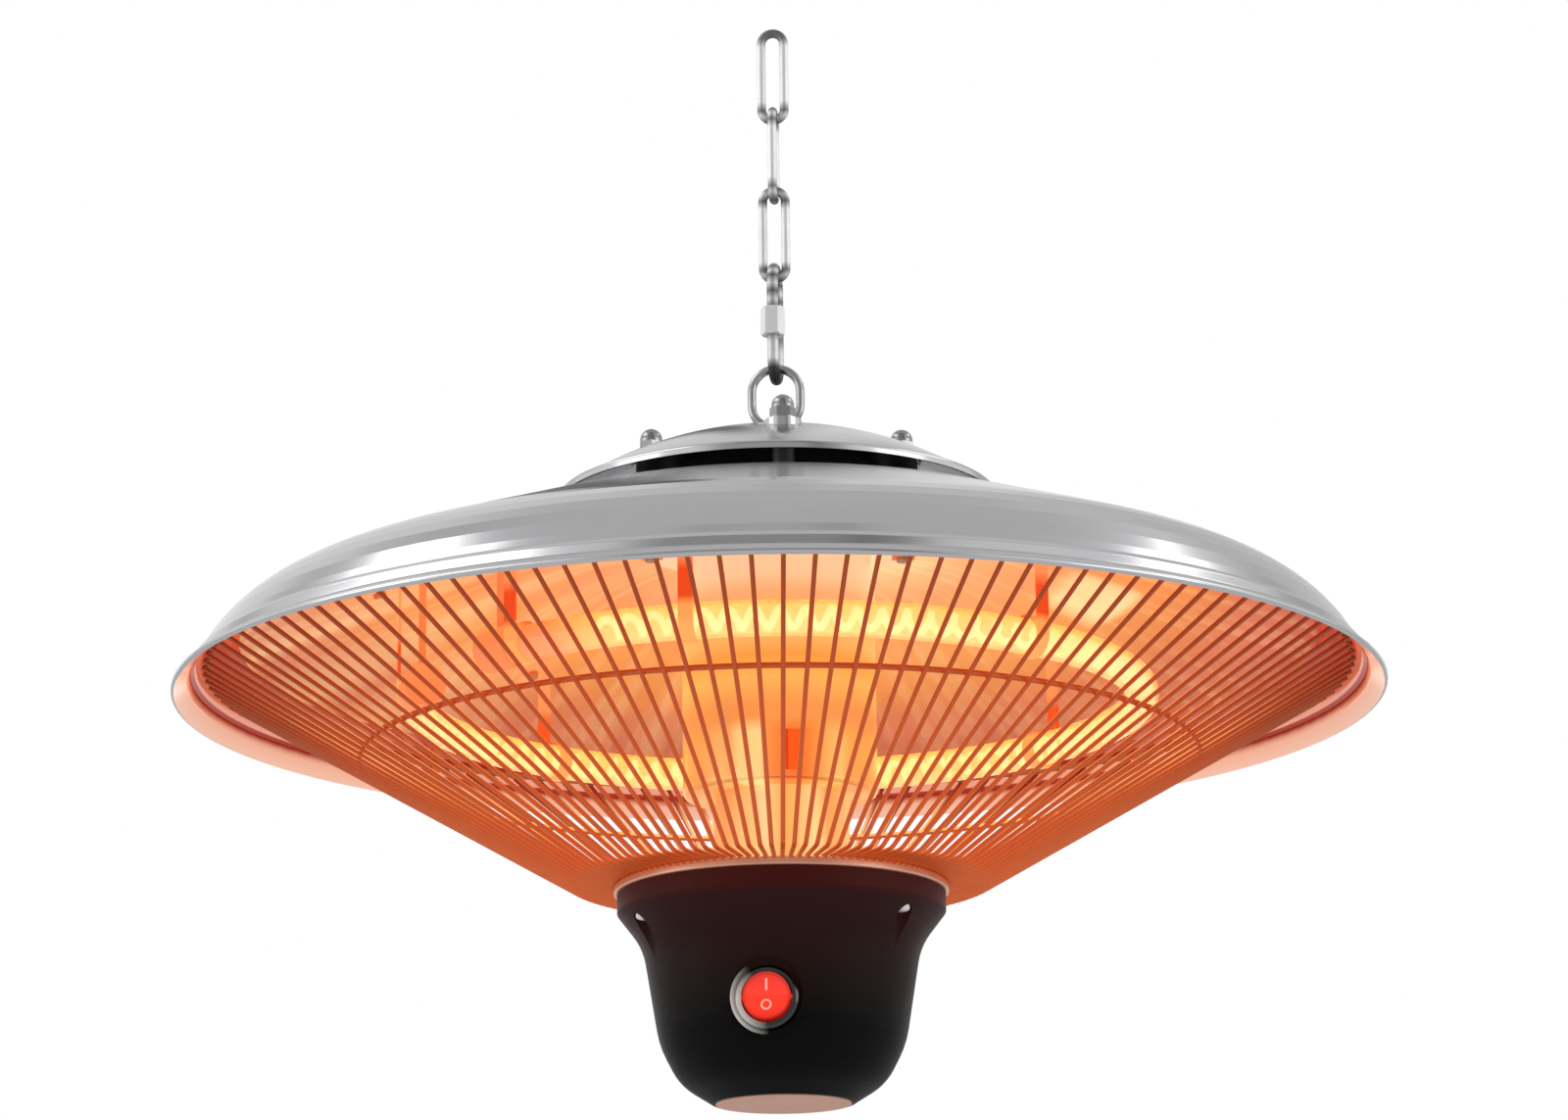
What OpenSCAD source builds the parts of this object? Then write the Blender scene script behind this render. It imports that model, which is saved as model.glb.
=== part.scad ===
// Ceiling infrared heater: a spun shade over a ring lamp and a wire guard, hung from a chain.
// Lengths are millimetres. The origin is the hanging point, the inside top of the first
// link, with Z up and the switch facing -Y. Parts of the heater are drawn above and below
// the plane of the shade's rim, and hung() lowers that plane to its place under the chain.
// An azimuth is counted from -Y towards +X.

/* [Chain] */
// Wire diameter of a chain link
link_wire = 3.2; // [2.4:0.1:3.8]
// Inside length of a chain link
link_inner_l = 30.2; // [26:0.1:36]
// Inside width of a chain link
link_inner_w = 5; // [4.5:0.1:7]
// Slack left at each place where one link hangs in the next
link_slack = 0.1; // [0.05:0.01:0.3]

/* [Quick link] */
// Wire diameter of the quick link
quick_wire = 4.1; // [3:0.1:4.3]
// Inside length of the quick link
quick_inner_l = 36.9; // [34:0.1:44]
// Inside width of the quick link
quick_inner_w = 10.5; // [9:0.1:14]
// Length of the screw sleeve
sleeve_l = 10.3; // [9.5:0.1:12]
// Width of the screw sleeve across its flats
sleeve_flats = 7.6; // [6.8:0.1:9]
// Height of the closed sleeve above the inside bottom of the quick link
sleeve_rise = 12; // [10:0.1:13]
// Free length between the two ends of the wire, under the sleeve
quick_gap = 5.5; // [4.5:0.1:6.5]
// Running clearance of the sleeve on the wire
sleeve_fit = 0.08; // [0.05:0.01:0.1]

/* [Hanging eye] */
// Wire diameter of the eye
eye_wire = 3.1; // [2.6:0.1:3.6]
// Outside width of the eye
eye_w = 20.5; // [18:0.1:24]
// Outside height of the eye
eye_h = 25.2; // [24:0.1:28]
// Height of the eye's lowest point above its collar's foot
eye_lift = 0.6; // [0.4:0.1:1]
// Radius of the collar under the eye
eye_collar_r = 7; // [6:0.1:8.5]
// Height of that collar
eye_collar_h = 2.5; // [2:0.1:4]
// Radius of the eye's threaded shank
shank_r = 4; // [3:0.1:4.5]
// Radius of the washer under the collar
eye_washer_r = 8.6; // [7.5:0.1:8.8]
// Thickness of that washer
eye_washer_t = 1; // [0.8:0.1:1.6]

/* [Cap] */
// Outer radius of the cap's brim
cap_r = 78.3; // [76:0.1:84]
// Height of the cap's flat top above the rim plane
cap_top = 97; // [96:0.1:98]
// Radius of the flat top
cap_flat_r = 9; // [8.9:0.1:11]
// Radius of the cap's dome
cap_dome_r = 135; // [130:1:145]
// Radius where the dome turns into the brim
cap_crease_r = 74; // [72:0.1:75]
// Drop of the brim from that crease to the hem
cap_brim_drop = 1.2; // [0.6:0.1:1.6]
// Height of the hem that hangs from the brim
cap_hem_h = 2.6; // [2:0.1:3.4]
// Sheet thickness of the cap
cap_t = 1; // [0.8:0.1:1.2]

/* [Shade] */
// Outer radius of the shade at its rim
shade_r = 212.5; // [208:0.5:218]
// Height of the shade's flat crown above the rim plane
crown_z = 67; // [66:0.1:68]
// Slope of the shade's cone in degrees
cone_slope = 19; // [18:0.1:20]
// Radius at which the cone's line meets the flat crown's line
crown_r = 81; // [79:0.5:83]
// Distance from the rim in to where the cone's line meets the shoulder's line
shoulder_in = 19.3; // [18.5:0.1:21.5]
// Bend radius from crown to cone
crown_bend = 155; // [120:1:160]
// Bend radius of the shoulder
shoulder_bend = 50; // [40:1:52]
// Width of the flared brim, with its bead
brim_w = 8.2; // [7:0.1:9]
// Height of the flared brim
brim_h = 9.2; // [8.6:0.1:9.8]
// Sheet thickness of the shade
shade_t = 1; // [0.8:0.1:1.2]
// Radius of the rolled edge
edge_r = 1; // [0.8:0.1:1.1]

/* [Reflector] */
// Distance from the shade's sheet down to the reflector's sheet
reflector_gap = 7; // [6:0.1:8]
// Distance from the shoulder in to the reflector's edge
reflector_in = 7.2; // [5.2:0.1:11.2]
// Sheet thickness of the reflector
reflector_t = 0.8; // [0.6:0.1:1]

/* [Studs and terminal can] */
// Radius of the circle on which the four studs stand
stud_circle_r = 44.6; // [43.5:0.1:45]
// Turn of that circle from the switch
stud_turn = 10; // [0:1:45]
// Radius of a stud
stud_r = 2.5; // [2:0.1:3]
// Radius of a spacer tube
spacer_r = 4; // [3.6:0.1:4.4]
// Width of an acorn nut across its flats
nut_flats = 8; // [7:0.1:9]
// Height of an acorn nut
acorn_h = 8.6; // [8:0.1:10]
// Thickness of the washers on the studs
washer_t = 0.8; // [0.6:0.1:1.2]
// Radius of the round plate that the eye is bolted to
hanger_r = 50; // [48.6:0.1:50.4]
// Thickness of that plate
hanger_t = 2.5; // [2:0.1:2.8]
// Height of the plate's upper face above the rim plane
hanger_top = 86; // [85.6:0.1:86]
// Outer radius of the terminal can
can_r = 36; // [33:0.1:38]
// Sheet thickness of the terminal can
can_t = 1; // [0.8:0.1:1.4]
// Radius of the cable bore in the grommet
cable_bore_r = 3.9; // [3.4:0.1:4.2]
// Distance of the grommet from the axis
grommet_y = 24; // [23:0.1:25]
// Radius of the holes that the wires pass through on their way to the switch
wire_hole_r = 5; // [4:0.1:6]
// Distance of those holes from the axis
wire_hole_y = 14; // [13:0.1:16]

/* [Lamp] */
// Radius of the ring lamp's centre line
lamp_r = 127; // [124:0.5:130]
// Outer radius of the quartz tube
tube_r = 6; // [5:0.1:6.5]
// Wall of the quartz tube
tube_wall = 1; // [0.8:0.1:1.4]
// Radius of the glowing filament coil
filament_r = 2.4; // [1.5:0.1:3]
// Azimuth of the tube's cold end
lamp_start = -38; // [-42:1:-34]
// Arc of the tube's cold end without filament
cold_arc = 15; // [10:1:20]
// Arc of the whole tube
lamp_arc = 327; // [322:1:330]
// Radius of the ceramic end caps
end_cap_r = 7.4; // [7.2:0.1:8.4]
// Length of an end cap
end_cap_l = 14; // [12:0.5:16]
// Depth of the tube in its end cap
end_cap_grip = 4; // [3:0.5:6]
// Radius of the sleeved lamp leads
lead_r = 1.3; // [1:0.1:1.6]
// Width of a lamp holder's strip
holder_w = 5; // [4.6:0.1:6.5]
// Thickness of that strip
holder_t = 1; // [0.8:0.1:1.2]
// Length of the holder's tab under the reflector
tab_l = 14; // [12:0.5:16]

/* [Guard] */
// Number of radial wires
guard_count = 120; // [90:1:120]
// Diameter of a radial wire
guard_wire = 1.6; // [1.3:0.1:1.8]
// Turn of the first wire
guard_turn = 1.6; // [0:0.1:3]
// Clearance from the outer ring out to the shade's wall
ring_play = 1.25; // [1:0.05:1.6]
// Height of the outer ring above the rim plane
outer_ring_z = 11; // [10.5:0.1:11.5]
// Wire diameter of the outer ring
outer_ring_wire = 2.5; // [2:0.1:2.6]
// Radius at which the middle ring lies on the wires
middle_ring_r = 147; // [130:1:160]
// Wire diameter of the middle ring
middle_ring_wire = 2; // [1.6:0.1:2.4]
// Centre line radius of the inner ring
inner_ring_r = 54.9; // [54.5:0.1:55]
// Wire diameter of the inner ring
inner_ring_wire = 2; // [1.6:0.1:2.4]
// Radius at which the wires bend up from their feet
guard_bend_r = 73; // [70:0.5:76]
// Bend radius of the wires
guard_bend = 8; // [5:0.5:12]

/* [Column] */
// Outer radius of the upper column
column_r = 34; // [33:0.1:35]
// Height of the upper column's foot above the rim plane
column_foot = -34; // [-37:0.5:-30]
// Outer radius of the lower column
neck_r = 24; // [22:0.1:26]
// Sheet thickness of both columns
column_t = 1; // [0.8:0.1:1.4]
// Width of the vent slots
slot_w = 5.6; // [4:0.1:7]
// Height of the vent slots
slot_h = 14.5; // [12:0.1:17]
// Turn of the vent slots from the switch
slot_turn = 15; // [0:1:45]
// Radius of the tie rod
tie_r = 3; // [2.5:0.1:3.5]

/* [Bell] */
// Outer radius of the collar above the bell
collar_r = 58.3; // [57.8:0.1:59]
// Height of the collar's lower face above the rim plane
collar_z = -68.4; // [-70:0.1:-67]
// Sheet thickness of the collar
collar_t = 1; // [0.8:0.1:1.4]
// Outer radius of the bell's flange
bell_r = 57.2; // [56.6:0.1:57.6]
// Height of the bell's flange
flange_h = 6.6; // [6:0.1:7.4]
// Height of the whole bell
bell_h = 72.9; // [70:0.1:76]
// Radius of the bell's waist
waist_r = 48.3; // [47.5:0.1:49]
// Radius of the bell where it turns towards the bottom
belly_r = 42.7; // [42:0.1:43.5]
// Wall of the bell
bell_wall = 2.4; // [2:0.1:2.8]
// Radius of the pale disc in the bottom
disc_r = 23.5; // [22:0.1:24]
// Thickness of that disc
disc_t = 1.8; // [1.2:0.1:2.2]
// Distance of the screws from the axis
screw_circle_r = 51; // [50:0.1:51.5]
// Radius of a screw's shank
screw_r = 1.6; // [1.2:0.1:2]
// Radius of a screw's head
screw_head_r = 2.9; // [2.6:0.1:3.2]

/* [Switch] */
// Height of the switch above the rim plane
switch_z = -111; // [-113:0.1:-109]
// Radius of the rocker
rocker_r = 8.2; // [7.6:0.1:8.6]
// Clearance round the rocker
rocker_gap = 0.6; // [0.5:0.1:0.8]
// Ring width of the bezel
bezel_w = 1.9; // [1.5:0.1:2.4]
// Radius of the funnel in the bell's wall
funnel_r = 13.2; // [12.8:0.1:14]
// Tilt of the rocker at either end of its travel
rocker_tilt = 6.5; // [5:0.5:7]
// Depth of the switch body behind the bezel
switch_depth = 18; // [15:0.5:21]

/* [Hidden] */

$fa = 4;
$fs = 0.4;

// Sheet faces that meet are drawn face to face, and round fits have this much play
fit_play = 0.05;
// Cuts run this far past a face, or this far either way from a sheet that they go right through
cut = 1;
deep_cut = 10;
// Bends tighter than this are drawn with fewer steps
small_bend = 3;

// The bend of a guard wire is this much thicker, and grips its straight stretches this deep
bend_swell = 0.02;
bend_grip = 0.1;

// Drops down the chain, each counted from the hanging point to a piece's inside top
link_pitch = link_inner_l - link_slack;
quick_drop = 3 * link_pitch;
eye_drop = quick_drop + quick_inner_l - link_slack;
eye_foot = cap_top + eye_washer_t;
rim_z = -eye_drop - (eye_foot + eye_lift + eye_h - eye_wire);

// Quick link
quick_leg = (quick_inner_w + quick_wire) / 2;
sleeve_low = -quick_inner_l + sleeve_rise;
gap_low = sleeve_low + 1.4;

// Stack on the studs, from the cap down
hanger_low = hanger_top - hanger_t;
eye_nut_h = 6;
eye_nut_flats = 13;
eye_shank_tail = 1;
dome_rise = sqrt(pow(cap_dome_r, 2) - pow(cap_flat_r, 2)) - cap_top;
function dome_z(r) = sqrt(pow(cap_dome_r, 2) - pow(r, 2)) - dome_rise;
pad_r = 6.5;
pad_rise = 0.6;
washer_r = 5;
grommet_wall = 2;
grommet_lip = 2.2;
grommet_neck_r = cable_bore_r + grommet_wall;
grommet_flange_r = grommet_neck_r + grommet_lip;
grommet_flange_t = 2;
cable_play = 1;
grommet_tilt = asin(grommet_y / cap_dome_r);
grommet_sag = pow(grommet_flange_r, 2) / (2 * cap_dome_r);
pad_z = dome_z(stud_circle_r) + pad_rise;
reflector_top = crown_z - shade_t - reflector_gap;
reflector_low = reflector_top - reflector_t;
flange_low = reflector_low - column_t;
stud_nut_h = 4;
stud_tail = 1.2;
stud_low = flange_low - washer_t - stud_nut_h - stud_tail;
flange_edge = 6;
column_flange_r = stud_circle_r + flange_edge;
can_foot_w = 3;

// Shade profile
cone_tan = tan(cone_slope);
shoulder_r = shade_r - shoulder_in;
function cone_z(r) = crown_z - (r - crown_r) * cone_tan;
shoulder_z = cone_z(shoulder_r);
brim_r = shade_r - brim_w;
brim_bend = 1;
step_bend = 0.8;
step_upper = [2.1, -1.6];
step_lower = [3.2, -4.8];
shade_path = rounded_path([
    [tie_r + fit_play, crown_z, 0], [crown_r, crown_z, crown_bend],
    [shoulder_r, shoulder_z, shoulder_bend], [brim_r, brim_h, brim_bend],
    [brim_r + step_upper[0], brim_h + step_upper[1], step_bend],
    [brim_r + step_lower[0], brim_h + step_lower[1], step_bend],
    [shade_r - edge_r * 0.6, edge_r * 0.6, 0]
]);

// Reflector profile, the shade's cone moved inwards
reflector_step = shade_t + reflector_gap;
reflector_drop = reflector_step / cos(cone_slope);
reflector_crown_r = crown_r - reflector_step * tan(cone_slope / 2);
function reflector_under_z(r) = cone_z(r) - reflector_drop - reflector_t / cos(cone_slope);
reflector_r = shoulder_r - reflector_in;
reflector_edge_z = cone_z(reflector_r) - reflector_drop;
reflector_hem = [3, -3.6];
reflector_hem_bend = 4;
reflector_path = rounded_path([
    [tie_r + fit_play, reflector_top, 0], [reflector_crown_r, reflector_top, crown_bend - reflector_step],
    [reflector_r, reflector_edge_z, reflector_hem_bend],
    [reflector_r + reflector_hem[0], reflector_edge_z + reflector_hem[1], 0]
]);

// Cap profile
cap_brim_z = dome_z(cap_crease_r) - cap_brim_drop;
cap_hem_z = cap_brim_z - cap_hem_h;
cap_arc_steps = 18;
shank_play = 0.3;
hem_bend = 1.4;
cap_path = concat(
    [[shank_r + shank_play, cap_top], [cap_flat_r, cap_top]],
    [
        for (i = [1:cap_arc_steps])
            let (r = cap_flat_r + (cap_crease_r - cap_flat_r) * i / cap_arc_steps) [r, dome_z(r)]
    ],
    corner_arc([cap_crease_r, dome_z(cap_crease_r)], [cap_r, cap_brim_z], [cap_r, cap_hem_z], hem_bend),
    [[cap_r, cap_hem_z]]
);

// Lamp
tube_inner_r = tube_r - tube_wall;
grip_arc = arc_of(end_cap_grip, lamp_r);
cap_arc = arc_of(end_cap_l, lamp_r);
first_cap = lamp_start - cap_arc + grip_arc;
last_cap = lamp_start + lamp_arc - grip_arc;
lead_azimuths = [first_cap + cap_arc * 0.4, last_cap + cap_arc * 0.6];
holder_gap = 0.8;
holder_step = arc_of(holder_w / 2 + holder_gap, lamp_r);
middle_holders = [-6, 48, 138, 228];
holder_azimuths = concat([first_cap + cap_arc + holder_step], middle_holders, [last_cap - holder_step]);
clip_play = 0.15;
leg_r = lamp_r + tube_r + clip_play;
tab_screw_r = 1.2;
tab_screw_tail = 2;
tab_head_r = 2.3;
tab_head_h = 1.5;
tab_screw_x = leg_r + holder_t + tab_l / 2;
lead_rise = 6;
lead_bush_r = lead_r + 1.7;
lead_bush_h = 9;
lead_bush_drop = 4;

// Guard
inner_ring_z = collar_z + collar_t + inner_ring_wire / 2;
function wall_r(z) = lookup(z, [for (p = moved_path(shade_path, shade_t)) [p[1], p[0]]]);
outer_ring_r = wall_r(outer_ring_z) - ring_play - outer_ring_wire / 2;
foot_z = inner_ring_z + (inner_ring_wire + guard_wire) / 2;
ring_reach = (outer_ring_wire + guard_wire) / 2;
guard_run = norm([outer_ring_r - guard_bend_r, outer_ring_z - foot_z]);
guard_slope = atan2(outer_ring_z - foot_z, outer_ring_r - guard_bend_r) - asin(ring_reach / guard_run);
bend_back = guard_bend * tan(guard_slope / 2);
wire_tail = 1;
slope_l = sqrt(pow(guard_run, 2) - pow(ring_reach, 2)) - bend_back + wire_tail;
foot_reach = 0.5;
clip_t = 0.8;
clip_w = 6;
clip_count = 4;
clip_reach = 4;
tongue_reach = 1.4;
middle_lift = (middle_ring_wire + guard_wire) / 2;
middle_wire_z = foot_z + (middle_ring_r - guard_bend_r) * tan(guard_slope);

// Bell and switch
bell_low = collar_z - bell_h;
neck_low = collar_z + collar_t;
seat_z = collar_z - flange_h;
waist_drop = 11.6;
belly_rise = 20.3;
waist_z = seat_z - waist_drop;
belly_z = bell_low + belly_rise;
flange_bend = 1.2;
waist_bend = 24;
belly_bend = 34;
turn_in = 6.9;
turn_rise = 7;
turn_bend = 20;
disc_play = 0.2;
disc_seat_w = 2;
foot_bend = 1;
bell_foot_r = disc_r + disc_play + 0.9;
bell_path = rounded_path([
    [bell_r, collar_z, 0], [bell_r, seat_z, flange_bend], [waist_r, waist_z, waist_bend],
    [belly_r, belly_z, belly_bend], [belly_r - turn_in, bell_low + turn_rise, turn_bend],
    [bell_foot_r, bell_low, foot_bend], [disc_r + disc_play, bell_low, 0]
]);
disc_stand = 0.3;
disc_plug_h = 2.4;
plug_play = 0.1;
funnel_depth = 3.4;
boss_wall = 1;
switch_face_r = waist_r + (belly_r - waist_r) * (waist_z - switch_z) / (waist_z - belly_z);
switch_y = funnel_depth - switch_face_r;
switch_hole_r = rocker_r + rocker_gap;
bezel_play = 0.3;
funnel_floor_r = switch_hole_r + bezel_w + bezel_play;
bezel_top = 2.6;
bezel_chamfer = 0.8;
bezel_neck_h = 4;
neck_play = 0.1;
switch_wall = 1;
body_wall_h = 5;
blade = [4.8, 0.8, 8];
blade_y = 4.5;
pin_r = 1;
pin_h = 1.4;
pin_grip = 0.6;
pin_play = 0.2;
pocket_play = 0.9;
pocket_r = screw_head_r + pocket_play;
bell_head_h = 2.2;

// Column and tie rod
slot_count = 4;
slot_rise = 3;
flange_bend_r = 1;
foot_bend_r = 2;
neck_lip = 3.5;
tie_nut_h = 5;
tie_nut_flats = 10;
tie_tail = 3;

// Arc, in degrees, of a length laid on a circle
function arc_of(length, radius) = length / radius * 180 / PI;

// Points of the round corner that replaces the middle one of three points
function corner_arc(before, corner, after, radius) =
    let (
        a = (before - corner) / norm(before - corner),
        b = (after - corner) / norm(after - corner),
        half = acos(max(-1, min(1, a * b))) / 2,
        centre = corner + (a + b) / norm(a + b) * radius / sin(half),
        start = corner + a * radius / tan(half) - centre,
        end = corner + b * radius / tan(half) - centre,
        from = atan2(start[1], start[0]),
        raw = atan2(end[1], end[0]) - from,
        sweep = raw > 180 ? raw - 360 : raw < -180 ? raw + 360 : raw,
        steps = ceil(abs(sweep) / (radius < small_bend ? 18 : 7))
    )
    [for (i = [0:steps]) centre + radius * [cos(from + sweep * i / steps), sin(from + sweep * i / steps)]];

// Path through [x, y, bend radius] corners
function rounded_path(corners) = [
    for (i = [0:len(corners) - 1])
        let (c = corners[i], p = [c[0], c[1]])
        each (c[2] == 0 ? [p] : corner_arc(flat(corners[i - 1]), p, flat(corners[i + 1]), c[2]))
];
function flat(corner) = [corner[0], corner[1]];

// Right-hand normal of a path's stretch that starts at a point
function stretch_normal(path, i) = let (d = path[i + 1] - path[i]) [d[1], -d[0]] / norm(d);

// The path moved sideways, mitred so that every stretch moves by the same distance
function moved_path(path, distance) = [
    for (i = [0:len(path) - 1])
        let (
            before = stretch_normal(path, max(i - 1, 0)),
            after = stretch_normal(path, min(i, len(path) - 2))
        )
        path[i] + (before + after) * distance / (1 + before * after)
];

// Closed outline of a sheet whose outer face follows the path
function sheet_outline(path, thickness) =
    let (inner = moved_path(path, thickness))
    concat(path, [for (i = [len(inner) - 1:-1:0]) inner[i]]);

// Places the heater's rim plane under the chain
module hung() {
    translate([0, 0, rim_z]) children();
}

// Places children, drawn outwards along -Y, at an azimuth and a radius
module at_azimuth(azimuth, radius = 0) {
    rotate([0, 0, azimuth]) translate([0, -radius, 0]) children();
}

module at_studs() {
    for (i = [0:3]) at_azimuth(stud_turn + 90 * i, stud_circle_r) children();
}

// Grommet's seat on the dome, with local +Z along the dome's normal
module at_grommet() {
    at_azimuth(180, grommet_y) translate([0, 0, dome_z(grommet_y)]) rotate([grommet_tilt, 0, 0]) children();
}

// Cutter for a round hole right through the sheet at Z = 0
module through_hole(radius) {
    translate([0, 0, -deep_cut]) cylinder(r = radius, h = 2 * deep_cut);
}

// Hole that the wires to the switch pass through, in the sheet at a height
module wire_hole(height) {
    at_azimuth(0, wire_hole_y) translate([0, 0, height]) through_hole(wire_hole_r);
}

// Screw's seat on a lamp holder's tab, with local +Z along the reflector's normal
module at_holder_screws() {
    for (azimuth = holder_azimuths) at_azimuth(azimuth, tab_screw_x)
        translate([0, 0, reflector_under_z(tab_screw_x)]) rotate([cone_slope, 0, 0]) children();
}

module at_bell_screws() {
    for (azimuth = [-60, 60, 180]) at_azimuth(azimuth, screw_circle_r) children();
}

// Round wire bent along an arc in the XZ plane
module wire_arc(radius, wire, from, sweep) {
    rotate([90, 0, 0]) rotate([0, 0, from]) rotate_extrude(angle = sweep)
        translate([radius, 0]) circle(d = wire);
}

// Long link in the XZ plane with its inside top at the origin
module long_link(inner_l, inner_w, wire) {
    bend = (inner_w + wire) / 2;
    low = -inner_l + inner_w / 2;
    translate([0, 0, -inner_w / 2]) wire_arc(bend, wire, 0, 180);
    translate([0, 0, low]) wire_arc(bend, wire, 180, 180);
    for (side = [-1, 1]) translate([side * bend, 0, low]) cylinder(d = wire, h = inner_l - inner_w);
}

module chain_link(index) {
    color("silver") translate([0, 0, -index * link_pitch]) rotate([0, 0, 90 * index])
        long_link(link_inner_l, link_inner_w, link_wire);
}

module chain_link_top() {
    chain_link(0);
}

module chain_link_middle() {
    chain_link(1);
}

module chain_link_bottom() {
    chain_link(2);
}

module quick_link() {
    color("silver") translate([0, 0, -quick_drop]) rotate([0, 0, 90]) difference() {
        long_link(quick_inner_l, quick_inner_w, quick_wire);
        translate([-quick_leg, 0, gap_low]) cylinder(d = quick_wire + cut, h = quick_gap);
    }
}

module quick_link_sleeve() {
    bore_r = quick_wire / 2 + sleeve_fit;
    corner_r = sleeve_flats / 2 / cos(30);
    chamfer = corner_r - sleeve_flats / 2;
    color("gainsboro") translate([0, -quick_leg, -quick_drop + sleeve_low]) difference() {
        intersection() {
            cylinder(r = corner_r, h = sleeve_l, $fn = 6);
            rotate_extrude() polygon([
                [0, 0], [corner_r - chamfer, 0], [corner_r, chamfer],
                [corner_r, sleeve_l - chamfer], [corner_r - chamfer, sleeve_l], [0, sleeve_l]
            ]);
        }
        translate([0, 0, -cut]) cylinder(r = bore_r, h = sleeve_l + 2 * cut);
    }
}

module hanging_eye() {
    shank_low = hanger_low - eye_nut_h - eye_shank_tail;
    color("silver") hung() union() {
        translate([0, 0, eye_foot + eye_lift + eye_h - eye_wire])
            long_link(eye_h - 2 * eye_wire, eye_w - 2 * eye_wire, eye_wire);
        translate([0, 0, eye_foot]) cylinder(r = eye_collar_r, h = eye_collar_h);
        translate([0, 0, shank_low]) cylinder(r = shank_r, h = eye_foot - shank_low + cut);
    }
}

module eye_washer() {
    color("silver") hung() translate([0, 0, cap_top])
        ring(shank_r + fit_play, eye_washer_r, eye_washer_t);
}

// Flat ring standing on the XY plane
module ring(inner_r, outer_r, height) {
    difference() {
        cylinder(r = outer_r, h = height);
        translate([0, 0, -cut]) cylinder(r = inner_r, h = height + 2 * cut);
    }
}

// Hexagon nut standing on the XY plane
module hex_nut(flats, bore_r, height) {
    difference() {
        cylinder(r = flats / 2 / cos(30), h = height, $fn = 6);
        translate([0, 0, -cut]) cylinder(r = bore_r, h = height + 2 * cut);
    }
}

module eye_nut() {
    color("silver") hung() translate([0, 0, hanger_low - eye_nut_h])
        hex_nut(eye_nut_flats, shank_r + fit_play, eye_nut_h);
}

module top_cap() {
    color("gainsboro") hung() difference() {
        union() {
            rotate_extrude() polygon(sheet_outline(cap_path, cap_t));
            at_studs() translate([0, 0, hanger_top]) cylinder(r = pad_r, h = pad_z - hanger_top);
        }
        at_studs() {
            translate([0, 0, pad_z]) cylinder(r = pad_r, h = deep_cut);
            translate([0, 0, pad_z]) through_hole(stud_r + fit_play);
        }
        at_grommet() through_hole(grommet_neck_r + fit_play);
    }
}

module cable_grommet() {
    groove_low = -cap_t - grommet_sag - fit_play;
    color("black") hung() at_grommet() difference() {
        union() {
            translate([0, 0, fit_play]) cylinder(r = grommet_flange_r, h = grommet_flange_t);
            translate([0, 0, groove_low - cut])
                cylinder(r = grommet_neck_r, h = cut - groove_low + fit_play + cut);
            translate([0, 0, groove_low - grommet_flange_t])
                cylinder(r = grommet_flange_r, h = grommet_flange_t);
        }
        through_hole(cable_bore_r);
    }
}

module cap_acorn_nuts() {
    base = pad_z + washer_t;
    hex_h = acorn_h * 0.42;
    dome_r = nut_flats / 2;
    color("gainsboro") hung() at_studs() translate([0, 0, base]) difference() {
        union() {
            cylinder(r = nut_flats / 2 / cos(30), h = hex_h, $fn = 6);
            cylinder(r = dome_r, h = acorn_h - dome_r);
            translate([0, 0, acorn_h - dome_r]) sphere(r = dome_r);
        }
        translate([0, 0, -deep_cut]) cylinder(r = nut_flats, h = deep_cut);
        translate([0, 0, -cut]) cylinder(r = stud_r + fit_play, h = acorn_h * 0.6 + cut);
    }
}

module cap_washers() {
    color("silver") hung() at_studs() translate([0, 0, pad_z]) ring(stud_r + fit_play, washer_r, washer_t);
}

module cap_studs() {
    top = pad_z + washer_t + acorn_h * 0.5;
    color("silver") hung() at_studs() translate([0, 0, stud_low]) cylinder(r = stud_r, h = top - stud_low);
}

module cap_spacers() {
    color("silver") hung() at_studs() translate([0, 0, crown_z])
        ring(stud_r + fit_play, spacer_r, hanger_low - crown_z);
}

module hanger_plate() {
    color("dimgray") hung() difference() {
        translate([0, 0, hanger_low]) cylinder(r = hanger_r, h = hanger_t);
        translate([0, 0, hanger_low]) through_hole(shank_r + fit_play);
        at_studs() translate([0, 0, hanger_low]) through_hole(stud_r + fit_play);
        at_azimuth(180, grommet_y) translate([0, 0, hanger_low]) through_hole(grommet_neck_r + cable_play);
    }
}

module terminal_can() {
    color("black") hung() translate([0, 0, crown_z]) difference() {
        cylinder(r = can_r, h = hanger_low - crown_z);
        translate([0, 0, can_t]) cylinder(r = can_r - can_t, h = hanger_low - crown_z);
        translate([0, 0, -cut]) cylinder(r = can_r - can_t - can_foot_w, h = 3 * cut);
    }
}

module terminal_block() {
    size = [34, 13, 9];
    front_y = 12;
    ways = 3;
    way_r = 2.2;
    way_depth = 4;
    color("ivory") hung() translate([-size[0] / 2, front_y, crown_z]) difference() {
        cube(size);
        for (i = [0:ways - 1]) translate([size[0] * (i + 0.5) / ways, size[1] / 2, size[2] - way_depth])
            cylinder(r = way_r, h = way_depth + cut);
    }
}

module shade() {
    color("silver") hung() difference() {
        union() {
            rotate_extrude() polygon(sheet_outline(shade_path, shade_t));
            rotate_extrude() translate([shade_r - edge_r, edge_r]) circle(r = edge_r, $fn = 32);
        }
        at_studs() translate([0, 0, crown_z]) through_hole(stud_r + fit_play);
        wire_hole(crown_z);
    }
}

module crown_spacers() {
    color("silver") hung() at_studs() translate([0, 0, reflector_top])
        ring(stud_r + fit_play, spacer_r, reflector_gap);
}

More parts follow.
